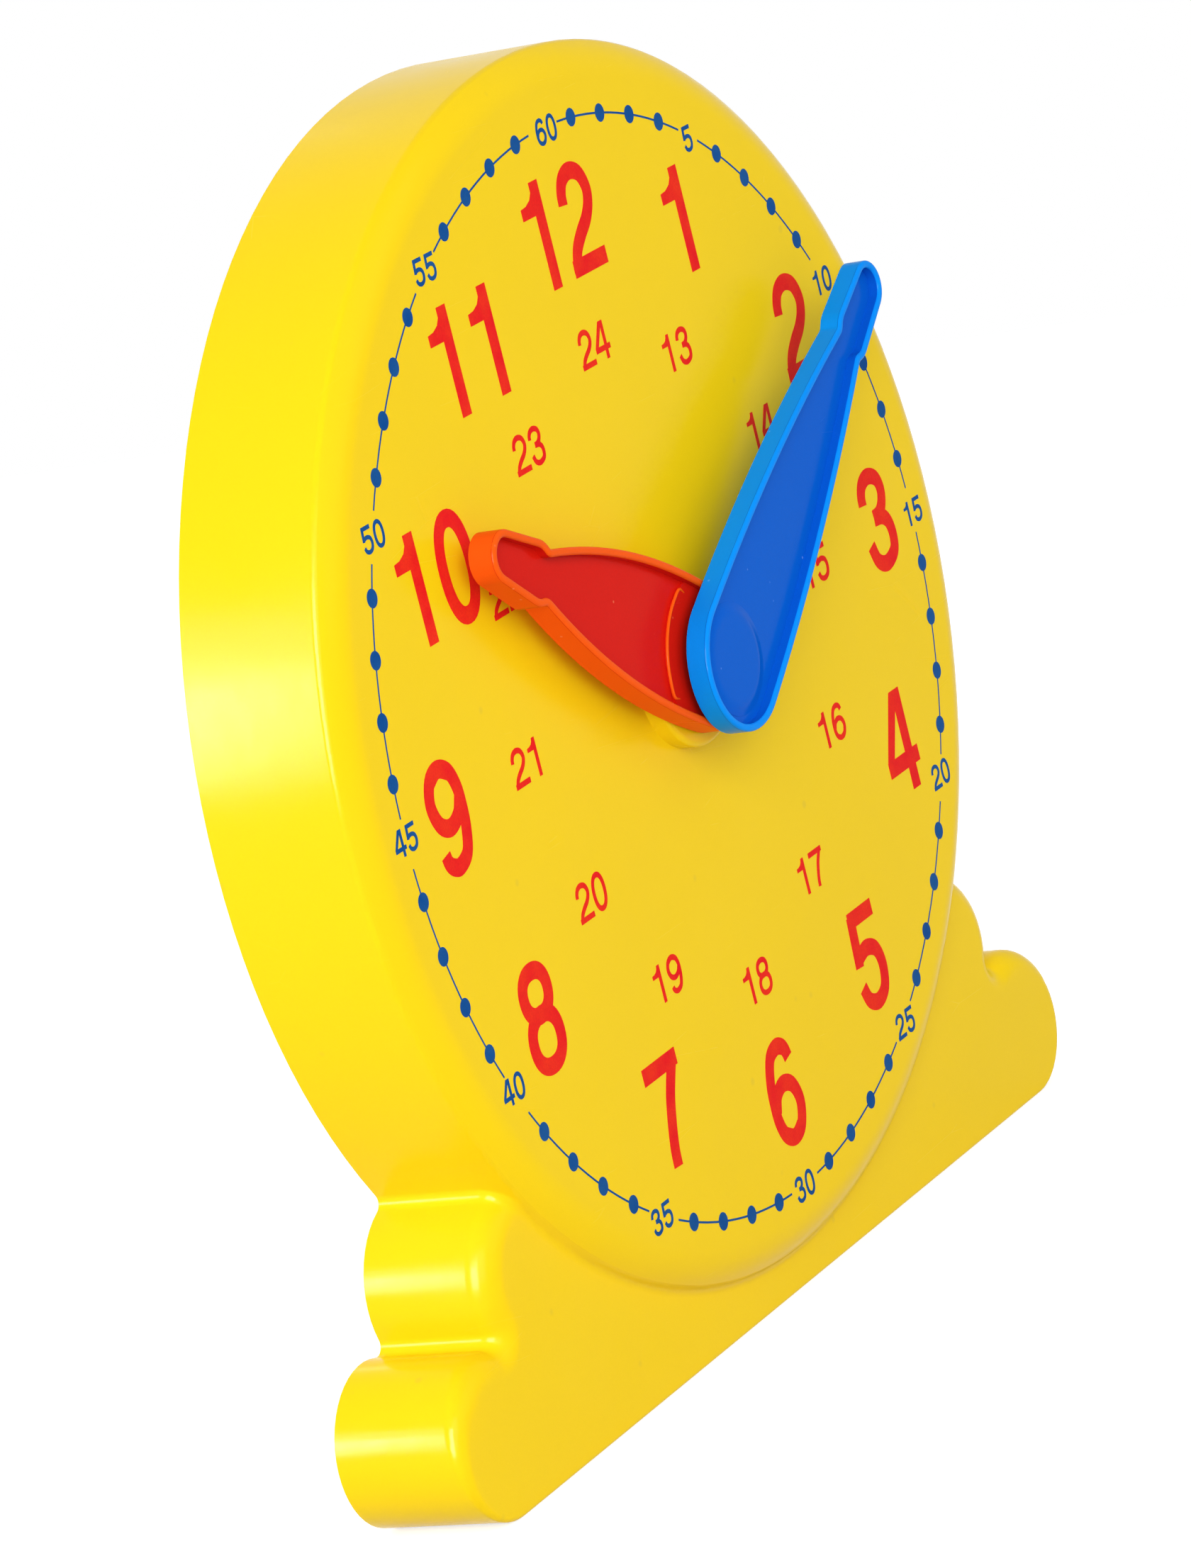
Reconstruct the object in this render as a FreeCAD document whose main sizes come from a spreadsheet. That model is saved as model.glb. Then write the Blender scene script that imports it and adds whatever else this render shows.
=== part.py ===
import FreeCAD, Part
import Sketcher
import math
import os

# A geared teaching clock: a moulded stand with a round dial, two hands and a gear train behind it.
# All lengths are in millimetres and all angles in degrees.
# Depth runs along Y: the dial face is at depth 0, the hands are in front of it (negative depth)
# and the shell runs back from it. The frame's origin is at the middle of the underside.

Vector = FreeCAD.Vector
Rotation = FreeCAD.Rotation
Placement = FreeCAD.Placement

doc = FreeCAD.newDocument("TeachingClock")
sheet = doc.addObject("Spreadsheet::Sheet", "Sizes")
sheet.Label = "sizes"

DRIVING = [
    # moulded shell
    ("disc_radius", 157.7, "round dial housing"),
    ("disc_rise", 1.7, "middle of the dial housing above the hands' axis"),
    ("shell_depth", 42.1, "dial face to rear edge"),
    ("face_bevel", 4.4, "slope between the two curves of the dial's roll"),
    ("face_edge_radius", 12.5, "broad curve of the roll, next to the face"),
    ("side_edge_radius", 2.2, "tight curve of the roll, next to the side"),
    ("inside_edge_radius", 6.0, "corner inside the dial housing"),
    ("shell_wall", 3.0, "moulded wall"),
    ("base_bottom", 167.4, "hands' axis down to the underside"),
    ("base_setback", 6.6, "base front behind the dial face"),
    ("base_edge_radius", 7.0, "roll round the base front"),
    ("foot_edge_radius", 1.0, "crisp edge along the foot, into which the roll fades"),
    ("foot_blend", 2.5, "hollow where the disc grows out of the base"),
    ("lower_lobe_radius", 20.5, "big scallop of the base"),
    ("lower_lobe_x", 150.3, "big scallop centre"),
    ("upper_lobe_radius", 22.0, "small scallop of the base"),
    ("upper_lobe_x", 119.9, "small scallop centre"),
    ("upper_lobe_drop", 116.6, "small scallop centre below the hands' axis"),
    ("notch_radius", 2.5, "hollow between the scallops"),
    # bearing of the hands in the dial
    ("front_boss_radius", 21.0, "low boss on the dial"),
    ("front_boss_height", 5.1, "low boss on the dial"),
    ("front_boss_edge", 1.5, "its rounded edge"),
    ("rear_boss_radius", 16.0, "boss behind the dial"),
    ("rear_boss_height", 3.0, "boss behind the dial"),
    ("bush_wall", 2.5, "hour tube bearing bush"),
    ("bush_flange", 1.5, "its flange thickness"),
    ("bush_flange_rim", 3.0, "its flange overhang"),
    ("shaft_radius", 4.0, "steel centre shaft"),
    ("tube_wall", 3.0, "hour tube"),
    ("running_gap", 0.05, "radial clearance of a turning fit"),
    ("fixed_gap", 0.02, "radial clearance of a fixed fit"),
    ("end_float", 0.25, "axial clearance of a turning piece"),
    ("side_gap", 0.3, "clearance round the back cover"),
    # gear train
    ("gear_module", 2.0, "module of all four gears"),
    ("pressure_angle", 25.0, "degrees"),
    ("backlash", 0.3, "play on the pitch circle"),
    ("addendum_share", 0.9, "tooth height above the pitch circle, in modules"),
    ("dedendum_share", 1.2, "tooth depth below the pitch circle, in modules"),
    ("minute_teeth", 15, "pinion on the centre shaft"),
    ("idler_teeth", 45, "large wheel of the idler"),
    ("idler_pinion_teeth", 12, "small pinion of the idler"),
    ("hour_teeth", 48, "wheel on the hour tube"),
    ("gear_face", 5.0, "tooth width of a wheel"),
    ("gear_gap", 2.0, "space between neighbouring wheels"),
    ("hub_wall", 4.0, "gear hub round its bore"),
    ("pinion_hub", 3.2, "hub behind the minute pinion"),
    ("roll_pin_radius", 0.8, "pin through the pinion hub"),
    ("axle_radius", 3.0, "steel idler axle"),
    ("idler_boss_radius", 7.0, "idler boss behind the dial"),
    ("idler_washer", 0.6, "idler washer thickness"),
    ("centre_washer", 0.8, "washer between hour wheel and pinion"),
    ("washer_rim", 4.0, "washer overhang round its bore"),
    # bridge that carries the rear ends of the shaft and the axle
    ("bridge_thickness", 3.0, "moulded bridge plate"),
    ("bridge_corner", 9.0, "corner rounding of the plate"),
    ("post_radius", 6.0, "bridge post on the dial"),
    ("post_x", 62.0, "bridge posts, half the spread"),
    ("upper_post_z", 22.0, "upper bridge posts"),
    ("lower_post_z", -88.0, "lower bridge posts"),
    ("rear_bush_wall", 2.0, "rear bearing bush"),
    ("spring_thickness", 0.4, "friction disc spring"),
    ("spring_height", 1.4, "free height of the dished spring"),
    ("spring_radius", 9.0, "friction disc spring"),
    ("spring_lip", 1.2, "top of the spring round its bore"),
    ("clip_thickness", 0.9, "retaining clip"),
    ("clip_radius", 7.5, "retaining clip"),
    ("clip_opening", 5.2, "open side of the clip"),
    ("groove_depth", 0.8, "clip groove in the shaft"),
    ("shaft_tail", 2.0, "shaft behind the clip"),
    # screws
    ("screw_radius", 1.5, "self-tapping screws"),
    ("screw_head_radius", 2.9, "pan head"),
    ("head_height", 1.8, "pan head"),
    ("screw_slot", 0.8, "cross recess width"),
    ("slot_reach", 2.0, "cross recess, half its length"),
    ("slot_depth", 0.9, "cross recess"),
    ("screw_gap", 0.25, "radial clearance of a screw in its hole"),
    ("hole_spare", 1.5, "pilot hole past the screw's end"),
    ("screw_length", 10.0, "under the head"),
    # back cover
    ("cover_thickness", 5.0, "flat back cover"),
    ("cover_recess", 2.0, "cover behind the shell's rear edge"),
    ("cover_post_radius", 5.0, "screw posts of the cover"),
    ("cover_post_inset", 20.0, "screw posts of the cover, in from the dial housing's outside"),
    # minute hand
    ("minute_angle", 57.5, "turned clockwise from twelve"),
    ("minute_hub_radius", 18.6, "round end"),
    ("minute_side_radius", 620.0, "slightly bowed sides"),
    ("minute_neck", 6.5, "half width at the neck"),
    ("minute_knob_radius", 7.85, "knob next to the neck"),
    ("minute_knob_reach", 112.6, "knob centre from the shaft"),
    ("minute_tip_radius", 7.0, "rounded tip"),
    ("minute_length", 136.0, "shaft to tip"),
    ("minute_height", 5.9, "hand thickness"),
    ("minute_floor", 2.9, "tray floor thickness"),
    ("minute_pad_radius", 14.5, "low round pad in the tray"),
    # hour hand
    ("hour_angle", 300.8, "turned clockwise from twelve"),
    ("hour_hub_radius", 17.6, "round end"),
    ("hour_side_radius", 190.0, "bowed sides"),
    ("hour_neck", 7.0, "half width at the neck"),
    ("hour_knob_radius", 8.3, "knob next to the neck"),
    ("hour_knob_reach", 86.4, "knob centre from the shaft"),
    ("hour_tip_radius", 6.7, "rounded tip"),
    ("hour_length", 107.8, "shaft to tip"),
    ("hour_height", 7.15, "hand thickness"),
    ("hour_floor", 4.15, "tray floor thickness"),
    ("hour_pad_radius", 23.0, "raised round pad in the tray"),
    # both hands
    ("hand_rim", 2.0, "rim of the tray"),
    ("hand_edge", 0.8, "rounding of the rim"),
    ("neck_round", 2.0, "rounding of the neck corners"),
    ("pad_height", 0.8, "pads in the trays"),
    ("face_washer", 0.8, "washer between boss and hour hand"),
    ("hand_washer", 0.8, "washer between the hands"),
    ("hand_gap", 0.7, "between the two hands"),
    ("hand_boss_radius", 9.0, "boss behind the minute hand"),
    ("shaft_cover", 1.2, "minute hand's floor in front of the shaft"),
]


class Size:
    """A number together with the sheet expression that gives it."""

    def __init__(self, number, text):
        self.number = float(number)
        self.text = text

    def __add__(self, other):
        other = as_size(other)
        return Size(self.number + other.number, f"({self.text} + {other.text})")

    def __sub__(self, other):
        other = as_size(other)
        return Size(self.number - other.number, f"({self.text} - {other.text})")

    def __mul__(self, other):
        other = as_size(other)
        return Size(self.number * other.number, f"({self.text} * {other.text})")

    def __truediv__(self, other):
        other = as_size(other)
        return Size(self.number / other.number, f"({self.text} / {other.text})")

    def __neg__(self):
        return Size(-self.number, f"(0 - {self.text})")

    def __float__(self):
        return self.number


def as_size(value):
    return value if isinstance(value, Size) else Size(value, repr(value))


for row, (alias, value, note) in enumerate(DRIVING, start=1):
    sheet.set(f"A{row}", alias)
    sheet.set(f"B{row}", str(value))
    sheet.set(f"C{row}", note)
    sheet.setAlias(f"B{row}", alias)
doc.recompute()


def size(alias):
    return Size(getattr(sheet, alias), f"<<sizes>>.{alias}")


zero = Size(0, "0")
wall = size("shell_wall")
shell_depth = size("shell_depth")
disc_radius = size("disc_radius")
disc_rise = size("disc_rise")
base_setback = size("base_setback")
base_bottom = size("base_bottom")
running_gap = size("running_gap")
fixed_gap = size("fixed_gap")
end_float = size("end_float")
shaft_radius = size("shaft_radius")
module = size("gear_module")

# Depths of the stack behind the dial, from front to back.
hour_tube_radius = shaft_radius + running_gap + size("tube_wall")
bush_radius = hour_tube_radius + running_gap + size("bush_wall")
bush_flange_front = wall + size("rear_boss_height")
hour_wheel_front = bush_flange_front + size("bush_flange") + end_float
hour_wheel_back = hour_wheel_front + size("gear_face")
gear_washer_front = hour_wheel_back + end_float
minute_pinion_front = hour_wheel_back + size("gear_gap") - end_float
idler_wheel_front = hour_wheel_back + size("gear_gap")
idler_wheel_back = idler_wheel_front + size("gear_face")
minute_pinion_back = idler_wheel_back + end_float
pinion_hub_back = minute_pinion_back + size("pinion_hub")
idler_pinion_front = hour_wheel_front - end_float
rear_bush_front = pinion_hub_back + end_float
bridge_front = rear_bush_front + size("bush_flange")
bridge_back = bridge_front + size("bridge_thickness")
idler_hub_back = bridge_front - size("idler_washer") - end_float
spring_front = bridge_back + size("centre_washer") + end_float
clip_front = spring_front + size("spring_height")
shaft_back = clip_front + size("clip_thickness") + size("shaft_tail")
cover_front = shell_depth - size("cover_recess") - size("cover_thickness")
cover_back = cover_front + size("cover_thickness")
cover_screw_seat = cover_back - size("head_height")

# Depths in front of the dial.
face_washer_front = -(size("front_boss_height") + size("face_washer"))
hour_hand_back = face_washer_front - end_float
hour_hand_front = hour_hand_back - size("hour_height")
hour_floor_front = hour_hand_back - size("hour_floor")
hour_pad_front = hour_floor_front - size("pad_height")
hand_washer_back = hour_pad_front - end_float
hand_washer_front = hand_washer_back - size("hand_washer")
minute_hand_back = hour_hand_front - size("hand_gap")
minute_hand_front = minute_hand_back - size("minute_height")
minute_floor_front = minute_hand_back - size("minute_floor")
minute_pad_front = minute_floor_front - size("pad_height")
shaft_front = minute_floor_front + size("shaft_cover")

# How far a cutting tool reaches past the piece it cuts.
past = 1.0

# The gears share one centre distance.
gear_centres = (size("minute_teeth") + size("idler_teeth")) * module / 2
idler_z = -gear_centres

# The hands' axis in the frame: above the underside, with the depth centred on the origin.
dial_y = -(shell_depth + minute_hand_front) / 2
dial_z = base_bottom


def bind(thing, path, value):
    thing.setExpression(path, as_size(value).text)


def place(piece, turn=0.0):
    """Moves a finished piece from the hands' axis to the frame, turned clockwise by an angle."""
    piece.Placement = Placement(Vector(0, float(dial_y), float(dial_z)), Rotation(Vector(0, 1, 0), float(turn)))
    bind(piece, ".Placement.Base.y", dial_y)
    bind(piece, ".Placement.Base.z", dial_z)
    return piece


pieces = []


def finish(piece, label, turn=0.0):
    piece.Label = label
    pieces.append(piece)
    return place(piece, turn)


def rod(name, radius, front, back, x=zero, z=zero):
    """A round solid along the depth, from one depth to another."""
    thing = doc.addObject("Part::Cylinder", name)
    thing.Placement = Placement(Vector(float(x), float(front), float(z)), Rotation(Vector(1, 0, 0), -90))
    bind(thing, "Radius", radius)
    bind(thing, "Height", as_size(back) - front)
    bind(thing, ".Placement.Base.x", x)
    bind(thing, ".Placement.Base.y", front)
    bind(thing, ".Placement.Base.z", z)
    return thing


def cut(name, base, tool):
    thing = doc.addObject("Part::Cut", name)
    thing.Base = base
    thing.Tool = tool
    return thing


def fuse(name, *shapes):
    thing = doc.addObject("Part::MultiFuse", name)
    thing.Shapes = list(shapes)
    thing.Refine = True
    return thing


def ring(label, outer, inner, front, back, x=zero, z=zero):
    """A washer or plain sleeve as a finished piece."""
    outside = rod(label + "_outside", outer, front, back, x, z)
    bore = rod(label + "_bore", inner, as_size(front) - past, as_size(back) + past, x, z)
    return finish(cut(label, outside, bore), label)


def flanged_bush(label, inner, outer, flange, front, flange_front, flange_back, back):
    sleeve = rod(label + "_sleeve", outer, front, back)
    rim = rod(label + "_flange", flange, flange_front, flange_back)
    bore = rod(label + "_bore", inner, as_size(front) - past, as_size(back) + past)
    return finish(cut(label, fuse(label + "_solid", sleeve, rim), bore), label)


def together(label, *things):
    """One or more solids as a finished piece of their own."""
    group = doc.addObject("Part::Compound", label)
    group.Links = list(things)
    return finish(group, label)


# Sketches lie on a body's own XZ plane, whose normal points to the front.
def xz_plane(body):
    for feature in body.Origin.OriginFeatures:
        if feature.Role == "XZ_Plane":
            return feature
    raise RuntimeError("no XZ plane in " + body.Label)


def new_body(name):
    return doc.addObject("PartDesign::Body", name)


def sketch_at(body, name, depth, x=zero, z=zero):
    sketch = body.newObject("Sketcher::SketchObject", name)
    sketch.AttachmentSupport = (xz_plane(body), [""])
    sketch.MapMode = "FlatFace"
    sketch.AttachmentOffset = Placement(Vector(float(x), float(z), -float(depth)), Rotation())
    bind(sketch, ".AttachmentOffset.Base.x", x)
    bind(sketch, ".AttachmentOffset.Base.y", z)
    bind(sketch, ".AttachmentOffset.Base.z", -as_size(depth))
    return sketch


def circle_sketch(body, name, radius, depth, x=zero, z=zero):
    sketch = sketch_at(body, name, depth, x, z)
    circle = sketch.addGeometry(Part.Circle(Vector(0, 0, 0), Vector(0, 0, 1), float(radius)), False)
    sketch.addConstraint(Sketcher.Constraint("Coincident", circle, 3, -1, 1))
    rule = sketch.addConstraint(Sketcher.Constraint("Radius", circle, float(radius)))
    bind(sketch, f"Constraints[{rule}]", radius)
    return sketch


def outline_sketch(body, name, curves, depth, radii):
    """A closed outline of lines and arcs, end to end; radii maps a curve's number to its size."""
    sketch = sketch_at(body, name, depth)
    sketch.addGeometry(curves, False)
    for number, curve in enumerate(curves):
        following = (number + 1) % len(curves)
        ends = [end_of(curves, number), start_of(curves, following)]
        sketch.addConstraint(Sketcher.Constraint("Coincident", number, ends[0], following, ends[1]))
    for number, radius in radii.items():
        rule = sketch.addConstraint(Sketcher.Constraint("Radius", number, float(radius)))
        bind(sketch, f"Constraints[{rule}]", radius)
    return sketch


def near(a, b):
    return (a - b).Length < 1e-6


def end_of(curves, number):
    """Which end of a curve meets the next one, by Sketcher's numbers: 1 its start, 2 its end."""
    following = curves[(number + 1) % len(curves)]
    meets = [following.StartPoint, following.EndPoint]
    return 2 if any(near(curves[number].EndPoint, point) for point in meets) else 1


def start_of(curves, number):
    previous = curves[(number - 1) % len(curves)]
    meets = [previous.StartPoint, previous.EndPoint]
    return 1 if any(near(curves[number].StartPoint, point) for point in meets) else 2


def pad(body, name, sketch, length):
    """Adds material from the sketch towards the back."""
    feature = body.newObject("PartDesign::Pad", name)
    feature.Profile = sketch
    feature.Reversed = True
    bind(feature, "Length", length)
    return feature


def pocket(body, name, sketch, length):
    """Takes material from the sketch towards the back, and checks that it did."""
    doc.recompute()
    before = body.Shape.Volume
    feature = body.newObject("PartDesign::Pocket", name)
    feature.Profile = sketch
    bind(feature, "Length", length)
    doc.recompute()
    if body.Shape.Volume >= before - 1e-6:
        raise RuntimeError(name + " takes no material away")
    return feature


def dress(body, kind, name, measure, amount, wanted):
    """Works on the edges of the body's last feature that the test wanted picks."""
    doc.recompute()
    tip = body.Tip
    names = [f"Edge{number}" for number, edge in enumerate(tip.Shape.Edges, start=1) if wanted(edge)]
    if not names:
        raise RuntimeError("no edge found for " + name)
    feature = body.newObject(kind, name)
    feature.Base = (tip, names)
    bind(feature, measure, amount)
    doc.recompute()
    if not feature.Shape.isValid():
        raise RuntimeError(name + " spoils the shape")
    return feature


def fillet(body, name, radius, wanted):
    return dress(body, "PartDesign::Fillet", name, "Radius", radius, wanted)


def chamfer(body, name, leg, wanted):
    return dress(body, "PartDesign::Chamfer", name, "Size", leg, wanted)


def lies_at_depth(edge, depth):
    return all(abs(vertex.Y - float(depth)) < 1e-4 for vertex in edge.Vertexes) and abs(
        edge.valueAt((edge.FirstParameter + edge.LastParameter) / 2).y - float(depth)) < 1e-4


def on_circle(edge, radius, depth):
    curve = edge.Curve
    return lies_at_depth(edge, depth) and isinstance(curve, Part.Circle) and abs(curve.Radius - float(radius)) < 1e-4


def point(x, z):
    return Vector(float(x), float(z), 0)


def arc(centre, radius, first, second):
    """The counterclockwise arc from one point to another round a centre."""
    start = math.atan2(first.y - centre.y, first.x - centre.x)
    stop = math.atan2(second.y - centre.y, second.x - centre.x)
    if stop <= start:
        stop += 2 * math.pi
    return Part.ArcOfCircle(Part.Circle(centre, Vector(0, 0, 1), float(radius)), start, stop)


def mirrored(spot):
    return Vector(-spot.x, spot.y, 0)


def meeting(first, first_radius, second, second_radius, side):
    """Where two circles cross: side 1 is left of the way from the first centre to the second, -1 right."""
    way = second - first
    distance = way.Length
    along = (first_radius ** 2 - second_radius ** 2 + distance ** 2) / (2 * distance)
    aside = math.sqrt(first_radius ** 2 - along ** 2)
    across = Vector(-way.y, way.x, 0) / distance
    return first + way * (along / distance) + across * (side * aside)


def base_outline(inset):
    """The scalloped base seen from the front, with its edge moved inwards."""
    inset = as_size(inset)
    lower_radius = size("lower_lobe_radius")
    upper_radius = size("upper_lobe_radius")
    notch_radius = size("notch_radius")
    lower = point(size("lower_lobe_x"), lower_radius - base_bottom)
    upper = point(size("upper_lobe_x"), -size("upper_lobe_drop"))
    lower_reach = float(lower_radius + notch_radius)
    upper_reach = float(upper_radius + notch_radius)
    notch = meeting(lower, lower_reach, upper, upper_reach, -1)
    low_touch = lower + (notch - lower).normalize() * float(lower_radius - inset)
    high_touch = upper + (notch - upper).normalize() * float(upper_radius - inset)
    foot = lower - Vector(0, float(lower_radius - inset), 0)
    top = upper + Vector(0, float(upper_radius - inset), 0)
    curves = [
        Part.LineSegment(mirrored(foot), foot),
        arc(lower, lower_radius - inset, foot, low_touch),
        arc(notch, notch_radius + inset, high_touch, low_touch),
        arc(upper, upper_radius - inset, high_touch, top),
        Part.LineSegment(top, mirrored(top)),
        arc(mirrored(upper), upper_radius - inset, mirrored(top), mirrored(high_touch)),
        arc(mirrored(notch), notch_radius + inset, mirrored(low_touch), mirrored(high_touch)),
        arc(mirrored(lower), lower_radius - inset, mirrored(low_touch), mirrored(foot)),
    ]
    radii = {
        1: lower_radius - inset,
        2: notch_radius + inset,
        3: upper_radius - inset,
        5: upper_radius - inset,
        6: notch_radius + inset,
        7: lower_radius - inset,
    }
    return curves, radii


def cover_screw_places():
    """Screw places round the dial housing, and one in each lower scallop, with where their posts start."""
    places = []
    reach = disc_radius - size("cover_post_inset")
    for angle in range(0, 360, 60):
        x = reach * Size(math.sin(math.radians(angle)), f"sin({angle} deg)")
        z = reach * Size(math.cos(math.radians(angle)), f"cos({angle} deg)") + disc_rise
        places.append((x, z, wall / 2))
    for side in (-1, 1):
        x = size("lower_lobe_x") * side
        places.append((x, size("lower_lobe_radius") - base_bottom, base_setback + wall / 2))
    return places


def bridge_screw_places():
    return [(size("post_x") * side, size(level)) for side in (-1, 1) for level in ("upper_post_z", "lower_post_z")]


def round_block(name, radius, edge_radius, front, back, z=zero):
    """A round solid whose front edge is rolled over."""
    body = new_body(name)
    pad(body, name + "Pad", circle_sketch(body, name + "Sketch", radius, front, zero, z), as_size(back) - front)
    fillet(body, name + "Edge", edge_radius, lambda edge: on_circle(edge, radius, front))
    return body


def dial_block(name):
    """The outside of the dial housing: its roll is a broad curve at the face and a tight one at the side."""
    body = new_body(name)
    pad(body, name + "Pad", circle_sketch(body, name + "Sketch", disc_radius, zero, zero, disc_rise), shell_depth)
    bevel = size("face_bevel")
    chamfer(body, name + "Bevel", bevel, lambda edge: on_circle(edge, disc_radius, zero))
    fillet(body, name + "Face", size("face_edge_radius"), lambda edge: on_circle(edge, disc_radius - bevel, zero))
    fillet(body, name + "Side", size("side_edge_radius"), lambda edge: on_circle(edge, disc_radius, bevel))
    return body


def scalloped_block(name, inset, front, back):
    """A solid with the base's outline."""
    body = new_body(name)
    curves, radii = base_outline(inset)
    pad(body, name + "Pad", outline_sketch(body, name + "Sketch", curves, front, radii), back - front)
    return body


def base_outside():
    """The outside of the base: the roll round its front fades to a crisp edge along the foot."""
    block = scalloped_block("BaseOutside", zero, base_setback, shell_depth)
    doc.recompute()

    def roll_at(spot):
        on_foot = abs(spot.z + float(base_bottom)) < 1e-4
        return float(size("foot_edge_radius")) if on_foot else float(size("base_edge_radius"))

    edges = []
    for number, edge in enumerate(block.Shape.Edges, start=1):
        if lies_at_depth(edge, base_setback):
            ends = [edge.valueAt(edge.FirstParameter), edge.valueAt(edge.LastParameter)]
            edges.append((number, roll_at(ends[0]), roll_at(ends[1])))
    rolled = doc.addObject("Part::Fillet", "BaseRoll")
    rolled.Base = block
    rolled.Edges = edges
    return rolled


def base_inside(open_back):
    """The hollow of the base, with its front edges rolled over."""
    front = base_setback + wall
    block = scalloped_block("BaseInside", wall, front, open_back)
    fillet(block, "BaseInsideEdge", size("base_edge_radius") - wall, lambda edge: lies_at_depth(edge, front))
    return block


def at_disc_foot(edge):
    """Whether an edge lies where the disc comes out of the scalloped base."""
    base_top = size("upper_lobe_radius") - size("upper_lobe_drop")
    for share in (0.1, 0.5, 0.9):
        spot = edge.valueAt(edge.FirstParameter + share * (edge.LastParameter - edge.FirstParameter))
        off_disc = abs(math.hypot(spot.x, spot.z - float(disc_rise)) - float(disc_radius))
        if off_disc > past or spot.z > float(base_top) or spot.y > float(shell_depth) - past:
            return False
    return True


def blended(name, base, radius, wanted):
    """The base shape with the hollow edges that the test wanted picks filled to a radius."""
    doc.recompute()
    thing = doc.addObject("Part::Fillet", name)
    thing.Base = base
    numbers = [number for number, edge in enumerate(base.Shape.Edges, start=1) if wanted(edge)]
    if not numbers:
        raise RuntimeError("no edge found for " + name)
    thing.Edges = [(number, float(radius), float(radius)) for number in numbers]
    return thing


def make_housing():
    outside = fuse("ShellOutside", dial_block("DiscOutside"), base_outside())
    open_back = shell_depth + past
    inside_edge = size("inside_edge_radius")
    inside = fuse("ShellInside",
                  round_block("DiscInside", disc_radius - wall, inside_edge, wall, open_back, disc_rise),
                  base_inside(open_back))
    # bosses and posts start inside the wall that carries them
    root = wall / 2
    boss_front = -size("front_boss_height")
    idler_boss_back = idler_pinion_front - end_float - size("idler_washer")
    grown = [
        round_block("FrontBoss", size("front_boss_radius"), size("front_boss_edge"), boss_front, root),
        rod("RearBoss", size("rear_boss_radius"), root, bush_flange_front),
        rod("IdlerBoss", size("idler_boss_radius"), root, idler_boss_back, zero, idler_z),
    ]
    holes = [
        rod("BushBore", bush_radius + fixed_gap, boss_front - past, bush_flange_front + past),
        rod("AxleHole", size("axle_radius") + fixed_gap, wall, idler_boss_back + past, zero, idler_z),
    ]
    pilot_radius = size("screw_radius") + fixed_gap
    pilot_depth = size("screw_length") + size("hole_spare")
    for number, (x, z) in enumerate(bridge_screw_places()):
        grown.append(rod(f"BridgePost{number}", size("post_radius"), root, bridge_front, x, z))
        pilot_front = bridge_back - pilot_depth
        holes.append(rod(f"BridgePilot{number}", pilot_radius, pilot_front, bridge_front + past, x, z))
    for number, (x, z, start) in enumerate(cover_screw_places()):
        grown.append(rod(f"CoverPost{number}", size("cover_post_radius"), start, cover_front, x, z))
        pilot_front = cover_screw_seat - pilot_depth
        holes.append(rod(f"CoverPilot{number}", pilot_radius, pilot_front, cover_front + past, x, z))
    outside = blended("ShellFoot", outside, size("foot_blend"), at_disc_foot)
    solid = fuse("HousingSolid", cut("Shell", outside, inside), *grown)
    return finish(cut("Housing", solid, fuse("HousingHoles", *holes)), "housing")


def make_back_cover():
    body = new_body("CoverPlate")
    inset = wall + size("side_gap")
    thickness = size("cover_thickness")
    curves, radii = base_outline(inset)
    pad(body, "CoverBase", outline_sketch(body, "CoverBaseSketch", curves, cover_front, radii), thickness)
    disc = circle_sketch(body, "CoverDiscSketch", disc_radius - inset, cover_front, zero, disc_rise)
    pad(body, "CoverDisc", disc, thickness)
    holes = []
    for number, (x, z, _) in enumerate(cover_screw_places()):
        gap = size("screw_gap")
        holes.append(rod(f"CoverHole{number}", size("screw_radius") + gap, cover_front - past, cover_back + past, x, z))
        holes.append(rod(f"CoverRecess{number}", size("screw_head_radius") + gap, cover_screw_seat, cover_back + past,
                         x, z))
    return finish(cut("BackCover", body, fuse("CoverHoles", *holes)), "back_cover")


def screw_group(label, places, seat):
    """Identical pan-head screws with a cross recess; the heads lie behind the depth called seat."""
    back = Vector(0, 1, 0)
    head_height = float(size("head_height"))
    slot_depth = float(size("slot_depth"))
    slot_reach = float(size("slot_reach"))
    half_slot = float(size("screw_slot") / 2)
    solids = []
    for x, z in places:
        foot = Vector(float(x), float(seat), float(z))
        head = Part.makeCylinder(float(size("screw_head_radius")), head_height, foot, back)
        for half_x, half_z in ((slot_reach, half_slot), (half_slot, slot_reach)):
            corner = foot + Vector(-half_x, head_height - slot_depth, -half_z)
            head = head.cut(Part.makeBox(2 * half_x, slot_depth, 2 * half_z, corner))
        shank = Part.makeCylinder(float(size("screw_radius")), float(size("screw_length")), foot, -back)
        solids.append(head.fuse(shank).removeSplitter())
    group = doc.addObject("Part::Feature", label)
    group.Shape = Part.makeCompound(solids)
    return finish(group, label)


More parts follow.
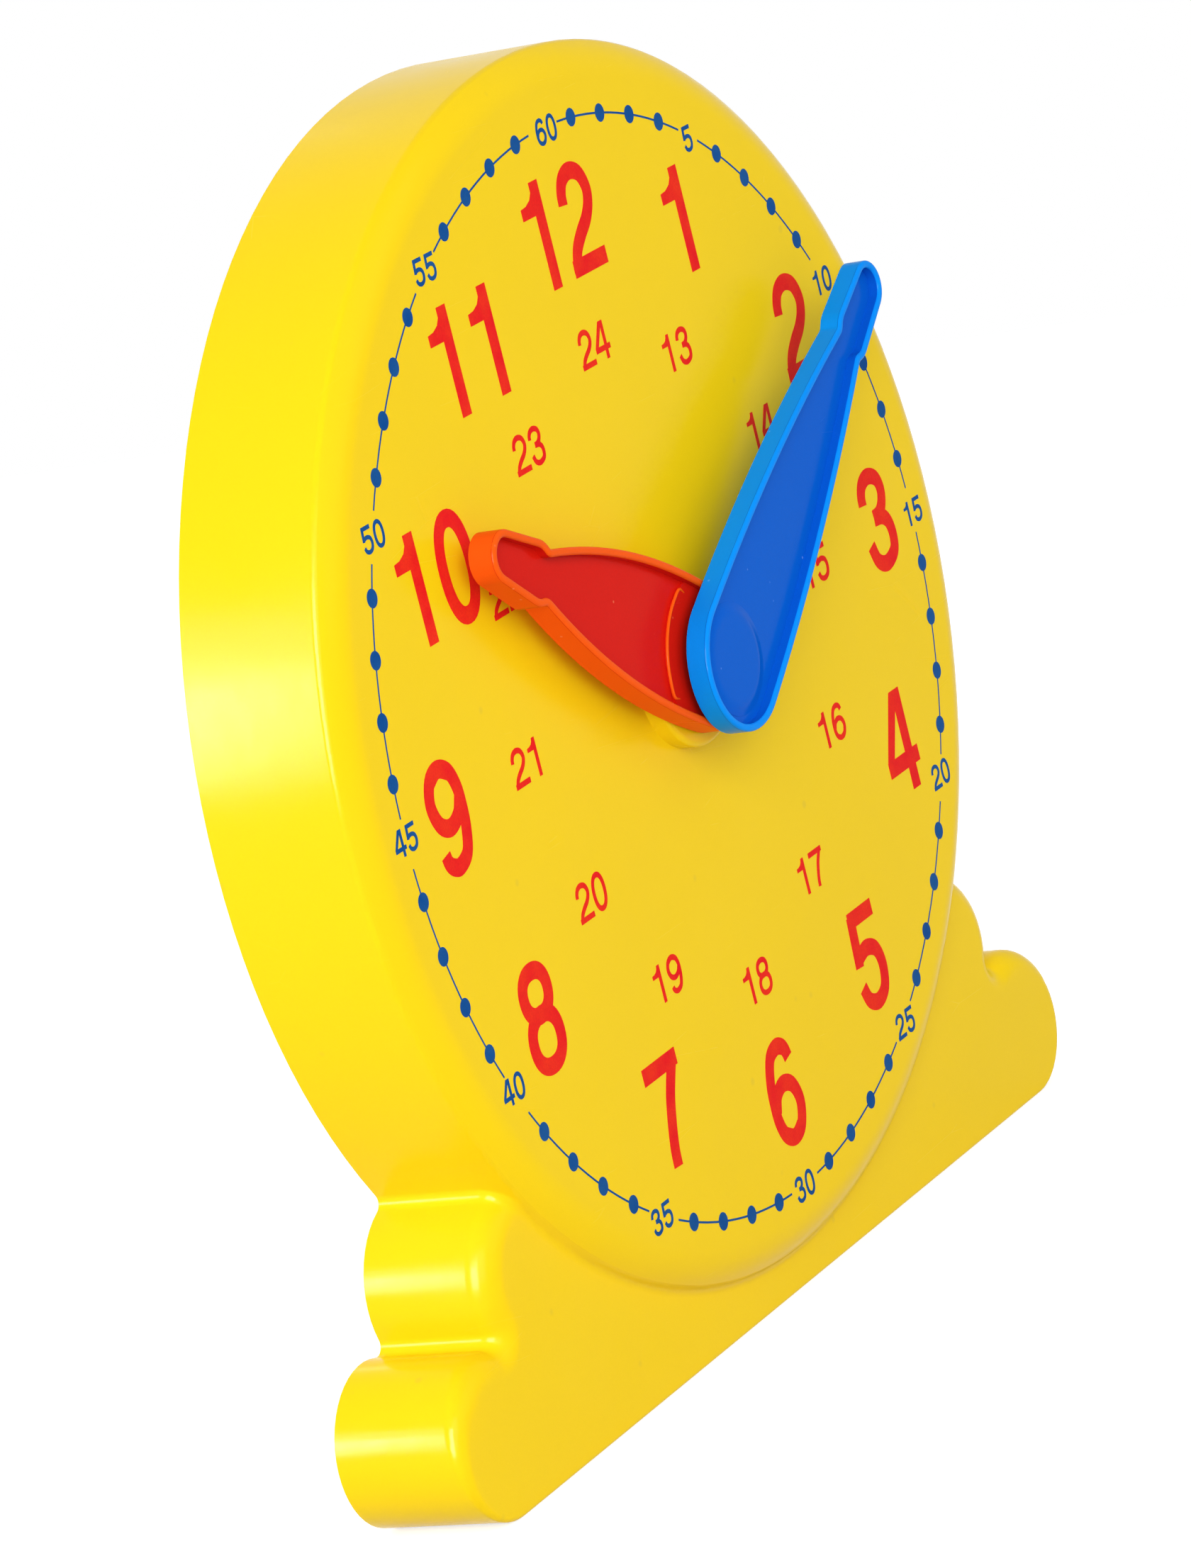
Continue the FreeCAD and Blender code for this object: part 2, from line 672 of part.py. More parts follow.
def tooth_outline(teeth, phase):
    """An involute gear's outline in the dial's plane, with a tooth at the angle called phase."""
    teeth = int(round(float(teeth)))
    scale = float(module)
    pressure = math.radians(float(size("pressure_angle")))
    pitch = scale * teeth / 2
    base = pitch * math.cos(pressure)
    tip = pitch + scale * float(size("addendum_share"))
    root = pitch - scale * float(size("dedendum_share"))
    half_pitch_tooth = (math.pi * scale / 2 - float(size("backlash"))) / (2 * pitch)

    def half_tooth(radius):
        turned = math.acos(min(1.0, base / radius))
        return half_pitch_tooth + (math.tan(pressure) - pressure) - (math.tan(turned) - turned)

    def spot(radius, angle):
        return Vector(radius * math.sin(angle), 0, radius * math.cos(angle))

    flank_foot = max(base, root)
    flank = [flank_foot, (flank_foot + tip) / 2, tip]
    step = 2 * math.pi / teeth
    edges = []
    for number in range(teeth):
        middle = math.radians(phase) + number * step
        rising = [spot(radius, middle - half_tooth(radius)) for radius in flank]
        falling = [spot(radius, middle + half_tooth(radius)) for radius in reversed(flank)]
        foot_angle = half_tooth(flank_foot)
        if root < base:
            edges.append(Part.LineSegment(spot(root, middle - foot_angle), rising[0]))
        edges.append(Part.Arc(*rising))
        edges.append(Part.Arc(rising[-1], spot(tip, middle), falling[0]))
        edges.append(Part.Arc(*falling))
        if root < base:
            edges.append(Part.LineSegment(falling[-1], spot(root, middle + foot_angle)))
        next_foot = middle + step - foot_angle
        valley = [spot(root, middle + foot_angle), spot(root, middle + step / 2), spot(root, next_foot)]
        edges.append(Part.Arc(*valley))
    return Part.Wire([edge.toShape() for edge in edges])


def toothed(name, teeth, phase, front, back, z=zero):
    """A toothed disc along the depth, round the dial centre or the idler's axle."""
    disc = doc.addObject("Part::Feature", name)
    face = Part.Face(tooth_outline(teeth, phase))
    shape = face.extrude(Vector(0, float(as_size(back) - front), 0))
    shape.translate(Vector(0, float(front), float(z)))
    disc.Shape = shape
    return disc


def gap_phase(teeth, towards):
    """The phase that turns a gap between two teeth towards an angle."""
    return towards + 180.0 / int(round(float(teeth)))


# The idler lies straight below the shaft: a driving tooth points down at it, or up from it.
down = 180.0
up = 0.0


def make_hour_gear():
    teeth = size("hour_teeth")
    wheel = toothed("HourWheel", teeth, gap_phase(teeth, down), hour_wheel_front, hour_wheel_back)
    tube = rod("HourTube", hour_tube_radius, hour_pad_front, hour_wheel_back)
    bore = rod("HourTubeBore", shaft_radius + running_gap, hour_pad_front - past, hour_wheel_back + past)
    return finish(cut("HourGear", fuse("HourGearSolid", wheel, tube), bore), "hour_gear")


def pin_rod(name, gap):
    """The roll pin, or with a gap its cross hole, along X through the pinion's hub."""
    reach = shaft_radius + size("hub_wall")
    thing = doc.addObject("Part::Cylinder", name)
    middle = (minute_pinion_back + pinion_hub_back) / 2
    thing.Placement = Placement(Vector(-float(reach), float(middle), 0), Rotation(Vector(0, 1, 0), 90))
    bind(thing, "Radius", size("roll_pin_radius") + gap)
    bind(thing, "Height", reach * 2)
    bind(thing, ".Placement.Base.x", -reach)
    bind(thing, ".Placement.Base.y", middle)
    return thing


def make_minute_pinion():
    wheel = toothed("MinuteTeeth", size("minute_teeth"), down, minute_pinion_front, minute_pinion_back)
    hub = rod("MinuteHub", shaft_radius + size("hub_wall"), minute_pinion_front, pinion_hub_back)
    bore = rod("MinuteBore", shaft_radius + fixed_gap, minute_pinion_front - past, pinion_hub_back + past)
    solid = cut("MinutePinionBored", fuse("MinutePinionSolid", wheel, hub), bore)
    return finish(cut("MinutePinion", solid, pin_rod("MinutePinHole", fixed_gap)), "minute_pinion")


def make_shaft():
    core = rod("ShaftCore", shaft_radius, shaft_front, shaft_back)
    groove_front = clip_front - fixed_gap
    groove_back = clip_front + size("clip_thickness") + fixed_gap
    sleeve = rod("ShaftGrooveOutside", shaft_radius + past, groove_front, groove_back)
    waist = rod("ShaftGrooveInside", shaft_radius - size("groove_depth"), groove_front, groove_back)
    grooved = cut("ShaftGrooved", core, cut("ShaftGroove", sleeve, waist))
    return finish(cut("Shaft", grooved, pin_rod("ShaftPinHole", fixed_gap)), "minute_shaft")


def make_roll_pin():
    return together("pinion_pin", pin_rod("RollPinRod", zero))


def make_idler_gear():
    small = toothed("IdlerPinionTeeth", size("idler_pinion_teeth"), up, idler_pinion_front, idler_wheel_front, idler_z)
    teeth = size("idler_teeth")
    large = toothed("IdlerWheelTeeth", teeth, gap_phase(teeth, up), idler_wheel_front, idler_wheel_back, idler_z)
    hub = rod("IdlerHub", size("axle_radius") + size("hub_wall"), idler_pinion_front, idler_hub_back, zero, idler_z)
    bore_radius = size("axle_radius") + running_gap
    bore = rod("IdlerBore", bore_radius, idler_pinion_front - past, idler_hub_back + past, zero, idler_z)
    return finish(cut("IdlerGear", fuse("IdlerSolid", small, large, hub), bore), "idler_gear")


def make_idler_washers():
    """The two thin washers at the ends of the idler, in one group."""
    inner = size("axle_radius") + running_gap
    outer = size("axle_radius") + size("washer_rim")
    thickness = size("idler_washer")
    rings = []
    for name, front in (("Front", idler_pinion_front - end_float - thickness), ("Rear", bridge_front - thickness)):
        outside = rod(f"Idler{name}Washer", outer, front, front + thickness, zero, idler_z)
        bore = rod(f"Idler{name}WasherBore", inner, front - past, front + thickness + past, zero, idler_z)
        rings.append(cut(f"Idler{name}WasherRing", outside, bore))
    return together("idler_washers", *rings)


def make_bridge():
    body = new_body("GearBridge")
    corner = size("bridge_corner")
    right = size("post_x") + corner
    top = size("upper_post_z") + corner
    bottom = size("lower_post_z") - corner
    corners = [(right, top), (-right, top), (-right, bottom), (right, bottom)]
    spots = [point(x, z) for x, z in corners]
    curves = [Part.LineSegment(spots[number], spots[(number + 1) % 4]) for number in range(4)]
    pad(body, "Plate", outline_sketch(body, "PlateSketch", curves, bridge_front, {}), size("bridge_thickness"))
    fillet(body, "PlateCorners", corner, lambda edge: abs(edge.Vertexes[0].Y - edge.Vertexes[-1].Y) > 1e-3)
    thickness = size("bridge_thickness")
    bush_hole = shaft_radius + running_gap + size("rear_bush_wall") + fixed_gap
    pocket(body, "BushHole", circle_sketch(body, "BushHoleSketch", bush_hole, bridge_front), thickness)
    axle_hole = circle_sketch(body, "AxleHoleSketch", size("axle_radius") + fixed_gap, bridge_front, zero, idler_z)
    pocket(body, "AxleHole", axle_hole, thickness)
    for number, (x, z) in enumerate(bridge_screw_places()):
        radius = size("screw_radius") + size("screw_gap")
        hole = circle_sketch(body, f"ScrewHoleSketch{number}", radius, bridge_front, x, z)
        pocket(body, f"ScrewHole{number}", hole, thickness)
    return finish(body, "gear_bridge")


def make_friction_spring():
    """A dished disc spring: one cone taken from another, with a bore for the shaft."""
    inner = shaft_radius + running_gap
    cones = []
    for name, shift in (("Outside", zero), ("Inside", -size("spring_thickness"))):
        cone = doc.addObject("Part::Cone", "Spring" + name)
        cone.Placement = Placement(Vector(0, float(spring_front + shift), 0), Rotation(Vector(1, 0, 0), -90))
        bind(cone, "Radius1", size("spring_radius"))
        bind(cone, "Radius2", inner + size("spring_lip"))
        bind(cone, "Height", size("spring_height"))
        bind(cone, ".Placement.Base.y", spring_front + shift)
        cones.append(cone)
    bore = rod("SpringBore", inner, spring_front - past, clip_front + past)
    return finish(cut("FrictionSpring", cut("SpringShell", *cones), bore), "friction_spring")


def make_clip():
    """A retaining clip, open on one side so that it slides into the shaft's groove."""
    inner = shaft_radius - size("groove_depth") + fixed_gap
    clip_back = clip_front + size("clip_thickness")
    outside = rod("ClipOutside", size("clip_radius"), clip_front, clip_back)
    bore = rod("ClipBore", inner, clip_front - past, clip_back + past)
    slot = doc.addObject("Part::Box", "ClipSlot")
    opening = size("clip_opening")
    slot.Placement = Placement(Vector(-float(opening / 2), float(clip_front - past), 0), Rotation())
    bind(slot, "Length", opening)
    bind(slot, "Width", size("clip_thickness") + past * 2)
    bind(slot, "Height", size("clip_radius") + past)
    bind(slot, ".Placement.Base.x", -opening / 2)
    bind(slot, ".Placement.Base.y", clip_front - past)
    return finish(cut("RetainingClip", cut("ClipRing", outside, bore), slot), "retaining_clip")


def side_centre_of(prefix):
    """The centre of the arc that bounds a hand's right side, from the hub to the neck."""
    neck = float(size(prefix + "_neck"))
    knob = float(size(prefix + "_knob_radius"))
    neck_corner = point(neck, float(size(prefix + "_knob_reach")) - math.sqrt(knob ** 2 - neck ** 2))
    side = size(prefix + "_side_radius")
    return meeting(point(0, 0), float(side - size(prefix + "_hub_radius")), neck_corner, float(side), 1)


def hand_outline(prefix, inset):
    """A hand pointing up: round hub, bowed sides, a neck, and a knob that narrows to a rounded tip."""
    inset = as_size(inset)
    hub = size(prefix + "_hub_radius")
    side = size(prefix + "_side_radius")
    knob = size(prefix + "_knob_radius")
    tip = size(prefix + "_tip_radius")
    neck_round = size("neck_round")
    origin = point(0, 0)
    side_centre = side_centre_of(prefix)
    knob_centre = point(0, size(prefix + "_knob_reach"))
    tip_centre = point(0, size(prefix + "_length") - tip)
    neck_centre = meeting(side_centre, float(side + neck_round), knob_centre, float(knob + neck_round), -1)
    hub_touch = side_centre * (-float(hub - inset) / side_centre.Length)
    side_touch = side_centre + (neck_centre - side_centre).normalize() * float(side - inset)
    neck_touch = knob_centre + (neck_centre - knob_centre).normalize() * float(knob - inset)
    lean = math.asin(float(knob - tip) / (tip_centre.y - knob_centre.y))
    outward = Vector(math.cos(lean), math.sin(lean), 0)
    knob_touch = knob_centre + outward * float(knob - inset)
    tip_touch = tip_centre + outward * float(tip - inset)
    curves = [
        arc(origin, hub - inset, mirrored(hub_touch), hub_touch),
        arc(side_centre, side - inset, hub_touch, side_touch),
        arc(neck_centre, neck_round + inset, neck_touch, side_touch),
        arc(knob_centre, knob - inset, neck_touch, knob_touch),
        Part.LineSegment(knob_touch, tip_touch),
        arc(tip_centre, tip - inset, tip_touch, mirrored(tip_touch)),
        Part.LineSegment(mirrored(tip_touch), mirrored(knob_touch)),
        arc(knob_centre, knob - inset, mirrored(knob_touch), mirrored(neck_touch)),
        arc(mirrored(neck_centre), neck_round + inset, mirrored(side_touch), mirrored(neck_touch)),
        arc(mirrored(side_centre), side - inset, mirrored(side_touch), mirrored(hub_touch)),
    ]
    radii = {0: hub - inset, 5: tip - inset}
    radii.update({number: side - inset for number in (1, 9)})
    radii.update({number: neck_round + inset for number in (2, 8)})
    radii.update({number: knob - inset for number in (3, 7)})
    return curves, radii


def pad_sketch(body, prefix, inset, depth):
    """The round pad in a tray, cut off by the tray's bowed sides where it is wider than the hub."""
    radius = size(prefix + "_pad_radius")
    hub_radius = size(prefix + "_hub_radius") - inset
    if float(radius) < float(hub_radius):
        return circle_sketch(body, "PadSketch", radius, depth)
    side_radius = size(prefix + "_side_radius") - inset
    side_centre = side_centre_of(prefix)
    hub_touch = side_centre * (-float(hub_radius) / side_centre.Length)
    origin = point(0, 0)
    edge = meeting(side_centre, float(side_radius), origin, float(radius), 1)
    curves = [
        arc(origin, hub_radius, mirrored(hub_touch), hub_touch),
        arc(side_centre, side_radius, hub_touch, edge),
        arc(origin, radius, edge, mirrored(edge)),
        arc(mirrored(side_centre), side_radius, mirrored(edge), mirrored(hub_touch)),
    ]
    return outline_sketch(body, "PadSketch", curves, depth, {0: hub_radius, 1: side_radius, 2: radius, 3: side_radius})


def hand_tray(name, prefix, front, floor_front, back):
    """A hand's tray with its raised rim and the round pad over its hub."""
    body = new_body(name)
    curves, radii = hand_outline(prefix, zero)
    pad(body, "Outline", outline_sketch(body, "OutlineSketch", curves, front, radii), back - front)
    rim = size("hand_rim")
    curves, radii = hand_outline(prefix, rim)
    pocket(body, "Tray", outline_sketch(body, "TraySketch", curves, front, radii), floor_front - front)
    fillet(body, "RimEdges", size("hand_edge"), lambda edge: lies_at_depth(edge, front))
    height = size("pad_height")
    pad(body, "HubPad", pad_sketch(body, prefix, rim, floor_front - height), height * 2)
    return body


def make_hour_hand():
    body = hand_tray("HourHand", "hour", hour_hand_front, hour_floor_front, hour_hand_back)
    bore = circle_sketch(body, "TubeBoreSketch", hour_tube_radius + fixed_gap, hour_pad_front)
    pocket(body, "TubeBore", bore, hour_hand_back - hour_pad_front)
    return finish(body, "hour_hand", size("hour_angle"))


def make_minute_hand():
    body = hand_tray("MinuteHand", "minute", minute_hand_front, minute_floor_front, minute_hand_back)
    boss_front = minute_floor_front + size("shaft_cover") / 2
    boss = circle_sketch(body, "BossSketch", size("hand_boss_radius"), boss_front)
    pad(body, "Boss", boss, hand_washer_front - boss_front)
    bore = circle_sketch(body, "ShaftBoreSketch", shaft_radius + fixed_gap, shaft_front)
    pocket(body, "ShaftBore", bore, hand_washer_front - shaft_front)
    return finish(body, "minute_hand", size("minute_angle"))


make_housing()
make_back_cover()
screw_group("cover_screws", [spot[:2] for spot in cover_screw_places()], cover_screw_seat)
make_bridge()
screw_group("bridge_screws", bridge_screw_places(), bridge_back)
bush_rim = bush_radius + size("bush_flange_rim")
flanged_bush("dial_bush", hour_tube_radius + running_gap, bush_radius, bush_rim, -size("front_boss_height"),
             bush_flange_front, bush_flange_front + size("bush_flange"), bush_flange_front + size("bush_flange"))
shaft_bore = shaft_radius + running_gap
rear_bush_radius = shaft_bore + size("rear_bush_wall")
flanged_bush("bridge_bush", shaft_bore, rear_bush_radius, rear_bush_radius + size("bush_flange_rim"), rear_bush_front,
             rear_bush_front, bridge_front, bridge_back)
make_hour_gear()
make_minute_pinion()
make_shaft()
make_roll_pin()
make_idler_gear()
together("idler_axle", rod("AxleRod", size("axle_radius"), wall, bridge_back, zero, idler_z))
make_idler_washers()
washer_radius = shaft_bore + size("washer_rim")
ring("gear_washer", washer_radius, shaft_bore, gear_washer_front, gear_washer_front + size("centre_washer"))
ring("pressure_washer", size("spring_radius"), shaft_bore, bridge_back, bridge_back + size("centre_washer"))
make_friction_spring()
make_clip()
ring("face_washer", hour_tube_radius + running_gap + size("washer_rim"), hour_tube_radius + running_gap,
     face_washer_front, -size("front_boss_height"))
ring("hand_washer", washer_radius, shaft_bore, hand_washer_front, hand_washer_back)
make_hour_hand()
make_minute_hand()

doc.recompute()
for thing in doc.Objects:
    if "Invalid" in thing.State or "Error" in thing.State:
        raise RuntimeError(f"{thing.Label} did not rebuild: {thing.State}")
for piece in pieces:
    if piece.Shape.isNull() or not piece.Shape.isValid():
        raise RuntimeError(piece.Label + " has no valid shape")

os.makedirs("parts", exist_ok=True)
for piece in pieces:
    piece.Shape.exportStep(f"parts/{piece.Label}.step")
    box = piece.Shape.BoundBox
    print(f"{piece.Label}: {len(piece.Shape.Solids)} solid(s), {piece.Shape.Volume:.0f} mm3, "
          f"y {box.YMin:.2f} to {box.YMax:.2f}, z {box.ZMin:.2f} to {box.ZMax:.2f}")
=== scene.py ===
import math

import bmesh
import bpy
from mathutils import Matrix, Vector


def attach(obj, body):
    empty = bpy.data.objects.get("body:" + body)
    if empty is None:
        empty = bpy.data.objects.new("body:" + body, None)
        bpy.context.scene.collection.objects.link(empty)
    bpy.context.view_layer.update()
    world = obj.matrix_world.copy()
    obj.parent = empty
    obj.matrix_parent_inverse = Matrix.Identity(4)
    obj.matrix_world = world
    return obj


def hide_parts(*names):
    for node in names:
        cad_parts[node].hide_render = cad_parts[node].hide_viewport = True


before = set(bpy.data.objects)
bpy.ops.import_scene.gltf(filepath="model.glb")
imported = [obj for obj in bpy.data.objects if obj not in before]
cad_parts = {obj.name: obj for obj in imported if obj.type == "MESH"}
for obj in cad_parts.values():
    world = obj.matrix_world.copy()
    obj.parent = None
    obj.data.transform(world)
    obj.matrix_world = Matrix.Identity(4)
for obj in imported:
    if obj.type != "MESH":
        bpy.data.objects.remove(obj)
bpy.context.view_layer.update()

scene = bpy.context.scene

# where the hands' axis meets the dial face
dial = {
    "y": -0.0111,
    "z": 0.1674,
    "ring": 0.140,       # radius of the ring of minute dots
    "printTurn": 0.9,    # degrees counterclockwise that the print sits off the moulding's own level
}

# solved from the photo's minute dots, numbers and outline
camera = {
    "place": (-1.43797, -0.85973, 0.50447),
    "right": (0.46441, -0.85490, -0.23119),
    "forward": (0.83363, 0.51012, -0.21176),
    "lens": 155.43,
    "sensor": 36.0,
    "near": 0.05,
    "far": 50.0,
}


def makeCamera():
    data = bpy.data.cameras.new("camera")
    data.lens = camera["lens"]
    data.sensor_width = camera["sensor"]
    data.clip_start = camera["near"]
    data.clip_end = camera["far"]
    body = bpy.data.objects.new("camera", data)
    right = Vector(camera["right"]).normalized()
    back = -Vector(camera["forward"]).normalized()
    up = back.cross(right).normalized()
    turn = Matrix((up.cross(back), up, back)).transposed().to_4x4()
    body.matrix_world = Matrix.Translation(camera["place"]) @ turn
    scene.collection.objects.link(body)
    scene.camera = body


makeCamera()
print("camera set")


def addNode(tree, kind, inputs=None, **settings):
    node = tree.nodes.new(kind)
    for key, value in settings.items():
        setattr(node, key, value)
    for key, value in (inputs or {}).items():
        if isinstance(value, bpy.types.NodeSocket):
            tree.links.new(value, node.inputs[key])
        else:
            node.inputs[key].default_value = value
    return node


def newMaterial(name):
    material = bpy.data.materials.new(name)
    material.use_nodes = True
    tree = material.node_tree
    tree.nodes.clear()
    output = addNode(tree, "ShaderNodeOutputMaterial")
    shader = addNode(tree, "ShaderNodeBsdfPrincipled")
    tree.links.new(shader.outputs["BSDF"], output.inputs["Surface"])
    return material, tree, shader


def spread(tree, value, low, high, fromLow=0.3, fromHigh=0.7):
    # brings a noise value into the range from low to high
    settings = {"Value": value, "From Min": fromLow, "From Max": fromHigh, "To Min": low, "To Max": high}
    return addNode(tree, "ShaderNodeMapRange", settings).outputs["Result"]


def blendColours(tree, share, first, second):
    # inputs 6 and 7 and output 2 are the node's colours
    mix = addNode(tree, "ShaderNodeMix", data_type="RGBA")
    for socket, value in ((mix.inputs["Factor"], share), (mix.inputs[6], first), (mix.inputs[7], second)):
        if isinstance(value, bpy.types.NodeSocket):
            tree.links.new(value, socket)
        elif socket.name == "Factor":
            socket.default_value = value
        else:
            socket.default_value = (*value, 1)
    return mix.outputs[2]


def shaded(colour, amount):
    return tuple(channel * amount for channel in colour)


def finishShader(tree, shader, colour, colourLink, roughness, bumps):
    shader.inputs["Base Color"].default_value = (*colour, 1)
    tree.links.new(colourLink, shader.inputs["Base Color"])
    tree.links.new(roughness, shader.inputs["Roughness"])
    normal = None
    for height, strength, distance in bumps:
        bump = addNode(tree, "ShaderNodeBump", {"Height": height, "Strength": strength, "Distance": distance})
        if normal:
            tree.links.new(normal, bump.inputs["Normal"])
        normal = bump.outputs["Normal"]
    tree.links.new(normal, shader.inputs["Normal"])


def noise(tree, place, scale, detail, distortion=0.0):
    settings = {"Vector": place, "Scale": scale, "Detail": detail, "Distortion": distortion}
    return addNode(tree, "ShaderNodeTexNoise", settings).outputs["Fac"]


def objectPlace(tree):
    return addNode(tree, "ShaderNodeTexCoord").outputs["Object"]


# what all the moulded plastics share
# a noise is (scale, detail) and maybe distortion, and a bump is (strength, distance in metres)
moulded = {
    "ior": 1.46,
    "cloud": (7.0, 3.0),
    "peelDetail": 2.0,
    "peelDepth": 0.0006,
    "grain": (2600.0, 1.0),
    "grainShade": 0.72,
    "grainBump": (0.08, 0.0001),
    "handled": (38.0, 5.0, 0.6),
    "handledRoughness": 0.09,
    "wornFrom": (0.55, 0.7),
    "scuffTurn": (0.4, 0.7, 0.2),
    "scuffStretch": (9, 30, 70),
    "scuffWidth": 0.008,
    "scuffRoughness": 0.2,
    "scuffBump": (-0.12, 0.0001),
    "dustEdge": (0.03, 0.06),
}


def mouldedPlastic(name, look):
    material, tree, shader = newMaterial(name)
    place = objectPlace(tree)
    colour = look["colour"]
    cloud = noise(tree, place, *moulded["cloud"])
    peel = noise(tree, place, look["peelScale"], moulded["peelDetail"])
    grain = noise(tree, place, *moulded["grain"])
    handled = noise(tree, place, *moulded["handled"])
    # hairline scuffs: the thin edges of large stretched cells
    stretch = addNode(tree, "ShaderNodeMapping", {"Vector": place, "Rotation": moulded["scuffTurn"],
                                                  "Scale": moulded["scuffStretch"]})
    cells = addNode(tree, "ShaderNodeTexVoronoi", {"Vector": stretch.outputs["Vector"], "Scale": 1.0},
                    feature="DISTANCE_TO_EDGE")
    scuff = spread(tree, cells.outputs["Distance"], 1.0, 0.0, 0.0, moulded["scuffWidth"])
    worn = addNode(tree, "ShaderNodeMath", {0: scuff, 1: spread(tree, handled, 0, 1, *moulded["wornFrom"])},
                   operation="MULTIPLY").outputs["Value"]
    # specks of dust caught in the surface
    dust = addNode(tree, "ShaderNodeTexVoronoi", {"Vector": place, "Scale": look["dustScale"]})
    speck = spread(tree, dust.outputs["Distance"], look["dust"], 0.0, *moulded["dustEdge"])
    tone = blendColours(tree, spread(tree, cloud, 0, 1), colour, shaded(colour, look["shade"]))
    tone = blendColours(tree, spread(tree, grain, 0, look["grain"]), tone, shaded(colour, moulded["grainShade"]))
    tone = blendColours(tree, speck, tone, look["dustColour"])
    gloss = spread(tree, handled, look["roughness"], look["roughness"] + moulded["handledRoughness"])
    roughness = addNode(tree, "ShaderNodeMath", {0: worn, 1: moulded["scuffRoughness"], 2: gloss},
                        operation="MULTIPLY_ADD").outputs["Value"]
    shader.inputs["Specular IOR Level"].default_value = look["specular"]
    shader.inputs["IOR"].default_value = moulded["ior"]
    bumps = [(peel, look["peel"], moulded["peelDepth"]), (grain, *moulded["grainBump"]),
             (worn, *moulded["scuffBump"])]
    finishShader(tree, shader, colour, tone, roughness, bumps)
    return material


printed = {
    "specular": 0.02,
    "roughness": (0.3, 0.45),
    "blotch": (150.0, 4.0),
    "screen": (1900.0, 2.0),
    "screenShare": 0.3,
    "screenShade": 0.7,
    "screenBump": (0.2, 0.00005),
}


def printedInk(name, look):
    material, tree, shader = newMaterial(name)
    place = objectPlace(tree)
    blotch = noise(tree, place, *printed["blotch"])
    screen = noise(tree, place, *printed["screen"])
    colour = look["colour"]
    tone = blendColours(tree, spread(tree, blotch, 0, 1), colour, look["thin"])
    tone = blendColours(tree, spread(tree, screen, 0, printed["screenShare"]), tone,
                        shaded(colour, printed["screenShade"]))
    shader.inputs["Specular IOR Level"].default_value = printed["specular"]
    roughness = spread(tree, blotch, *printed["roughness"])
    finishShader(tree, shader, colour, tone, roughness, [(screen, *printed["screenBump"])])
    return material


turned = {
    "marksDetail": 4.0,
    "marksBump": (0.25, 0.0001),
    "stain": (220.0, 4.0),
    "stainShare": 0.6,
    "stainShade": 0.7,
    "stainRoughness": 0.14,
}


def metal(name, look):
    material, tree, shader = newMaterial(name)
    place = objectPlace(tree)
    # turning marks run round the shafts, so they repeat along the depth
    stretch = addNode(tree, "ShaderNodeMapping", {"Vector": place, "Scale": look["marks"]})
    marks = noise(tree, stretch.outputs["Vector"], 1.0, turned["marksDetail"])
    stain = noise(tree, place, *turned["stain"])
    colour = look["colour"]
    tone = blendColours(tree, spread(tree, stain, 0, turned["stainShare"]), colour,
                        shaded(colour, turned["stainShade"]))
    shader.inputs["Metallic"].default_value = 1.0
    roughness = spread(tree, stain, look["roughness"], look["roughness"] + turned["stainRoughness"])
    finishShader(tree, shader, colour, tone, roughness, [(marks, *turned["marksBump"])])
    return material


yellowLook = {
    "colour": (0.90, 0.62, 0.006),
    "shade": 0.965,
    "roughness": 0.15,
    "specular": 0.06,
    "peel": 0.05,
    "peelScale": 160.0,
    "grain": 0.06,
    "dust": 0.25,
    "dustScale": 45.0,
    "dustColour": (0.62, 0.44, 0.04),
}
redLook = {
    "colour": (0.92, 0.105, 0.006),
    "shade": 0.93,
    "roughness": 0.14,
    "specular": 0.025,
    "peel": 0.05,
    "peelScale": 240.0,
    "grain": 0.12,
    "dust": 0.3,
    "dustScale": 140.0,
    "dustColour": (0.95, 0.4, 0.2),
}
# darker copies of the hands' plastics for their tray floors: painted shade of the recess inside the rim
redFloorPaintedShadeLook = dict(redLook, colour=(0.68, 0.011, 0.005), grain=0.2)
blueLook = dict(redLook, colour=(0.003, 0.27, 0.92), dustColour=(0.3, 0.6, 1.0))
# the blue tray floor's darker copy is painted shade of the recess as well
blueFloorPaintedShadeLook = dict(blueLook, colour=(0.002, 0.115, 0.62), grain=0.2)
gearLook = dict(redLook, colour=(0.80, 0.79, 0.74), roughness=0.28, dustColour=(0.4, 0.38, 0.33))
bridgeLook = dict(redLook, colour=(0.20, 0.21, 0.22), roughness=0.45, peel=0.4, peelScale=900.0,
                  dustColour=(0.4, 0.4, 0.4))
redInkLook = {"colour": (0.80, 0.008, 0.012), "thin": (0.86, 0.035, 0.012)}
blueInkLook = {"colour": (0.001, 0.066, 0.28), "thin": (0.012, 0.095, 0.30)}
steelLook = {"colour": (0.50, 0.51, 0.53), "roughness": 0.24, "marks": (60, 6000, 60)}
screwLook = {"colour": (0.62, 0.63, 0.66), "roughness": 0.18, "marks": (1500, 1500, 1500)}
brassLook = {"colour": (0.72, 0.50, 0.20), "roughness": 0.25, "marks": (60, 6000, 60)}

yellowPlastic = mouldedPlastic("yellowPlastic", yellowLook)
redPlastic = mouldedPlastic("redPlastic", redLook)
# the tray floors' materials are darker copies of the hand plastics that carry painted shade
redFloorPaintedShade = mouldedPlastic("redTrayFloorPaintedShade", redFloorPaintedShadeLook)
bluePlastic = mouldedPlastic("bluePlastic", blueLook)
blueFloorPaintedShade = mouldedPlastic("blueTrayFloorPaintedShade", blueFloorPaintedShadeLook)
gearPlastic = mouldedPlastic("gearPlastic", gearLook)
bridgePlastic = mouldedPlastic("bridgePlastic", bridgeLook)
redInk = printedInk("redInk", redInkLook)
blueInk = printedInk("blueInk", blueInkLook)
steel = metal("turnedSteel", steelLook)
screwSteel = metal("platedScrewSteel", screwLook)
brass = metal("bushBrass", brassLook)
print("materials made")


